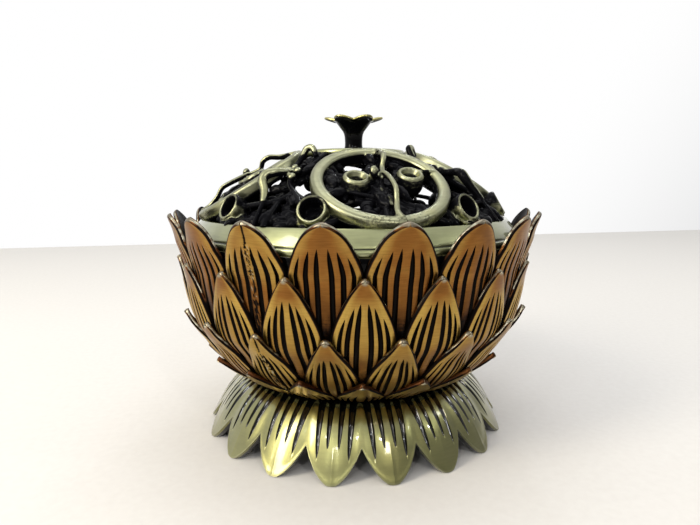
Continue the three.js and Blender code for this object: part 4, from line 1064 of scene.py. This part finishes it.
def knob():
    """Trumpet flower: six petals with deep notches between them, over a smooth neck."""
    neck = [(0, 79.2, 0.0), (1.5, 79.2, 0.0), (1.5, 76.1, 0.0), (2.75, 76.1, 0.0), (2.7, 76.3, 0.1),
            (2.5, 76.7, 0.0), (2.4, 77.4, 0.0), (2.4, 78.4, 0.0)]
    funnel = [(2.48, 79.6), (2.62, 80.3), (2.9, 81.0), (3.35, 81.6), (3.8, 82.15), (4.2, 82.7), (4.6, 83.2),
              (4.95, 83.6)]
    loops = []
    for i in range(KNOB_STEPS):
        azimuth = 2 * pi * i / KNOB_STEPS
        lobe = (0.5 + 0.5 * cos(KNOB_LOBES * (azimuth - KNOB_TURN))) ** 0.6
        notch = 1 - lobe
        outer = [(r - 0.2 * notch * ease(z, 79.6, 82), z - 0.35 * notch * ease(z, 81, 83.6))
                 for r, z in funnel]
        r, z = outer[-1]
        tip_r = mix(5.7, 7.9, lobe)
        arch = mix(0.35, 0.8, lobe)
        for k in range(1, 9):
            t = k / 8
            outer.append((mix(r, tip_r, t), z + arch * sin(pi * 0.62 * t)))
        loop = [(polar(azimuth, *place[:2]), place[2]) for place in neck]
        loop += [(polar(azimuth, r, z), 0.0 if k < 15 else 0.6) for k, (r, z) in enumerate(outer)]
        r, z = outer[-1]
        loop += [(polar(azimuth, r + 0.14, z + 0.15), 1.1), (polar(azimuth, r + 0.1, z + 0.42), 1.15),
                 (polar(azimuth, r - 0.2, z + 0.58), 1.15)]
        for k, (r, z) in enumerate(outer[::-1]):
            inside = max(0.25, r - 0.5 - 0.35 * ease(k, 3, 8))
            loop.append((polar(azimuth, inside, z + 0.58 * (1 - k / 16)), mix(1.05, 0.1, ease(k, 4, 9))))
        loop.append((polar(azimuth, 0, 80.6), 0.1))
        loops.append(loop)
    piece = new_object("knob_flower", skin(loops, around=True, ring=False).mesh("knob_flower", weld=0.003))
    fit(piece, DARK_BRASS, "lid", "dark_brass", "knob")


knob()


def studio():
    """Pale paper that ends behind the censer, in soft light that is brightest behind it and to its left. Its
    lamps are a tall panel at the left, a wide one overhead, smaller ones at the sides and in front, and
    four that give the glossy black its glints."""
    near, far, side = -3000, 460, 3000
    floor = Shape().add([(-side, near, 0), (side, near, 0), (side, far, 0), (-side, far, 0)], [[0, 1, 2, 3]])
    floor = new_object("floor", floor.mesh("floor"))
    paper, tree, shader, place = new_material("pale matt paper")
    fibre = add_node(tree, "ShaderNodeTexNoise", {"Vector": place, "Scale": 1 / (2 * MM), "Detail": 3.0})
    greys = {"Factor": fibre, "A": linear("#cdcac6"), "B": linear("#d6d4d0")}
    colour = add_node(tree, "ShaderNodeMix", greys, data_type="RGBA")
    feed(tree, shader, {"Base Color": colour, "Roughness": 0.75})
    floor.data.materials.append(paper)

    world = bpy.data.worlds.new("studio")
    bpy.context.scene.world = world
    world.use_nodes = True
    tree = world.node_tree
    way = add_node(tree, "ShaderNodeTexCoord").outputs["Generated"]
    bright_side = (-0.5, 0.68, 0.54)
    towards = add_node(tree, "ShaderNodeVectorMath", {0: way, 1: bright_side}, operation="DOT_PRODUCT")
    strength = add_node(
        tree, "ShaderNodeMapRange", {"Value": towards, "From Min": -0.5, "From Max": 0.35, "To Min": 0.3},
        interpolation_type="SMOOTHSTEP")
    feed(tree, tree.nodes["Background"], {"Color": (1, 1, 1, 1), "Strength": strength})

    white = "#ffffff"
    glint = 0.22, (0.02, 0.02)
    glint_white = "#f4f8ff"
    aim = Vector((0, 0, 0.045))
    # Each lamp: power in watts, size and place in metres, colour
    for name, energy, size, at, colour in (
            ("tall panel", 3.9, (0.2, 0.45), (-0.62, -0.23, 0.42), "#fff5e0"),
            ("left panel", 0.6, (0.09, 0.09), (-0.3, -0.56, 0.4), white),
            ("left spot", 0.24, (0.1, 0.1), (-0.34, -0.12, 0.5), white),
            ("left glint", *glint, (-0.35, -0.4, 0.5), glint_white),
            ("front glint", *glint, (0.06, -0.5, 0.45), glint_white),
            ("right glint", *glint, (0.45, -0.3, 0.4), glint_white),
            ("back glint", *glint, (0.2, 0.4, 0.5), glint_white),
            ("right panel", 0.18, (0.07, 0.07), (0.6, -0.15, 0.5), white),
            ("overhead", 1.0, (0.5, 0.35), (0.05, 0.1, 0.75), white),
            ("front panel", 0.5, (0.07, 0.1), (0.12, -0.6, 0.42), "#fff8ee")):
        light = bpy.data.lights.new(name, "AREA")
        light.shape = "RECTANGLE"
        light.size, light.size_y = size
        light.energy = energy
        light.color = linear(colour)[:3]
        lamp = new_object(name, light)
        lamp.location = at
        lamp.rotation_euler = (aim - Vector(at)).to_track_quat("-Z", "Y").to_euler()
    bpy.context.scene.view_settings.view_transform = "Standard"


studio()

bpy.context.view_layer.update()
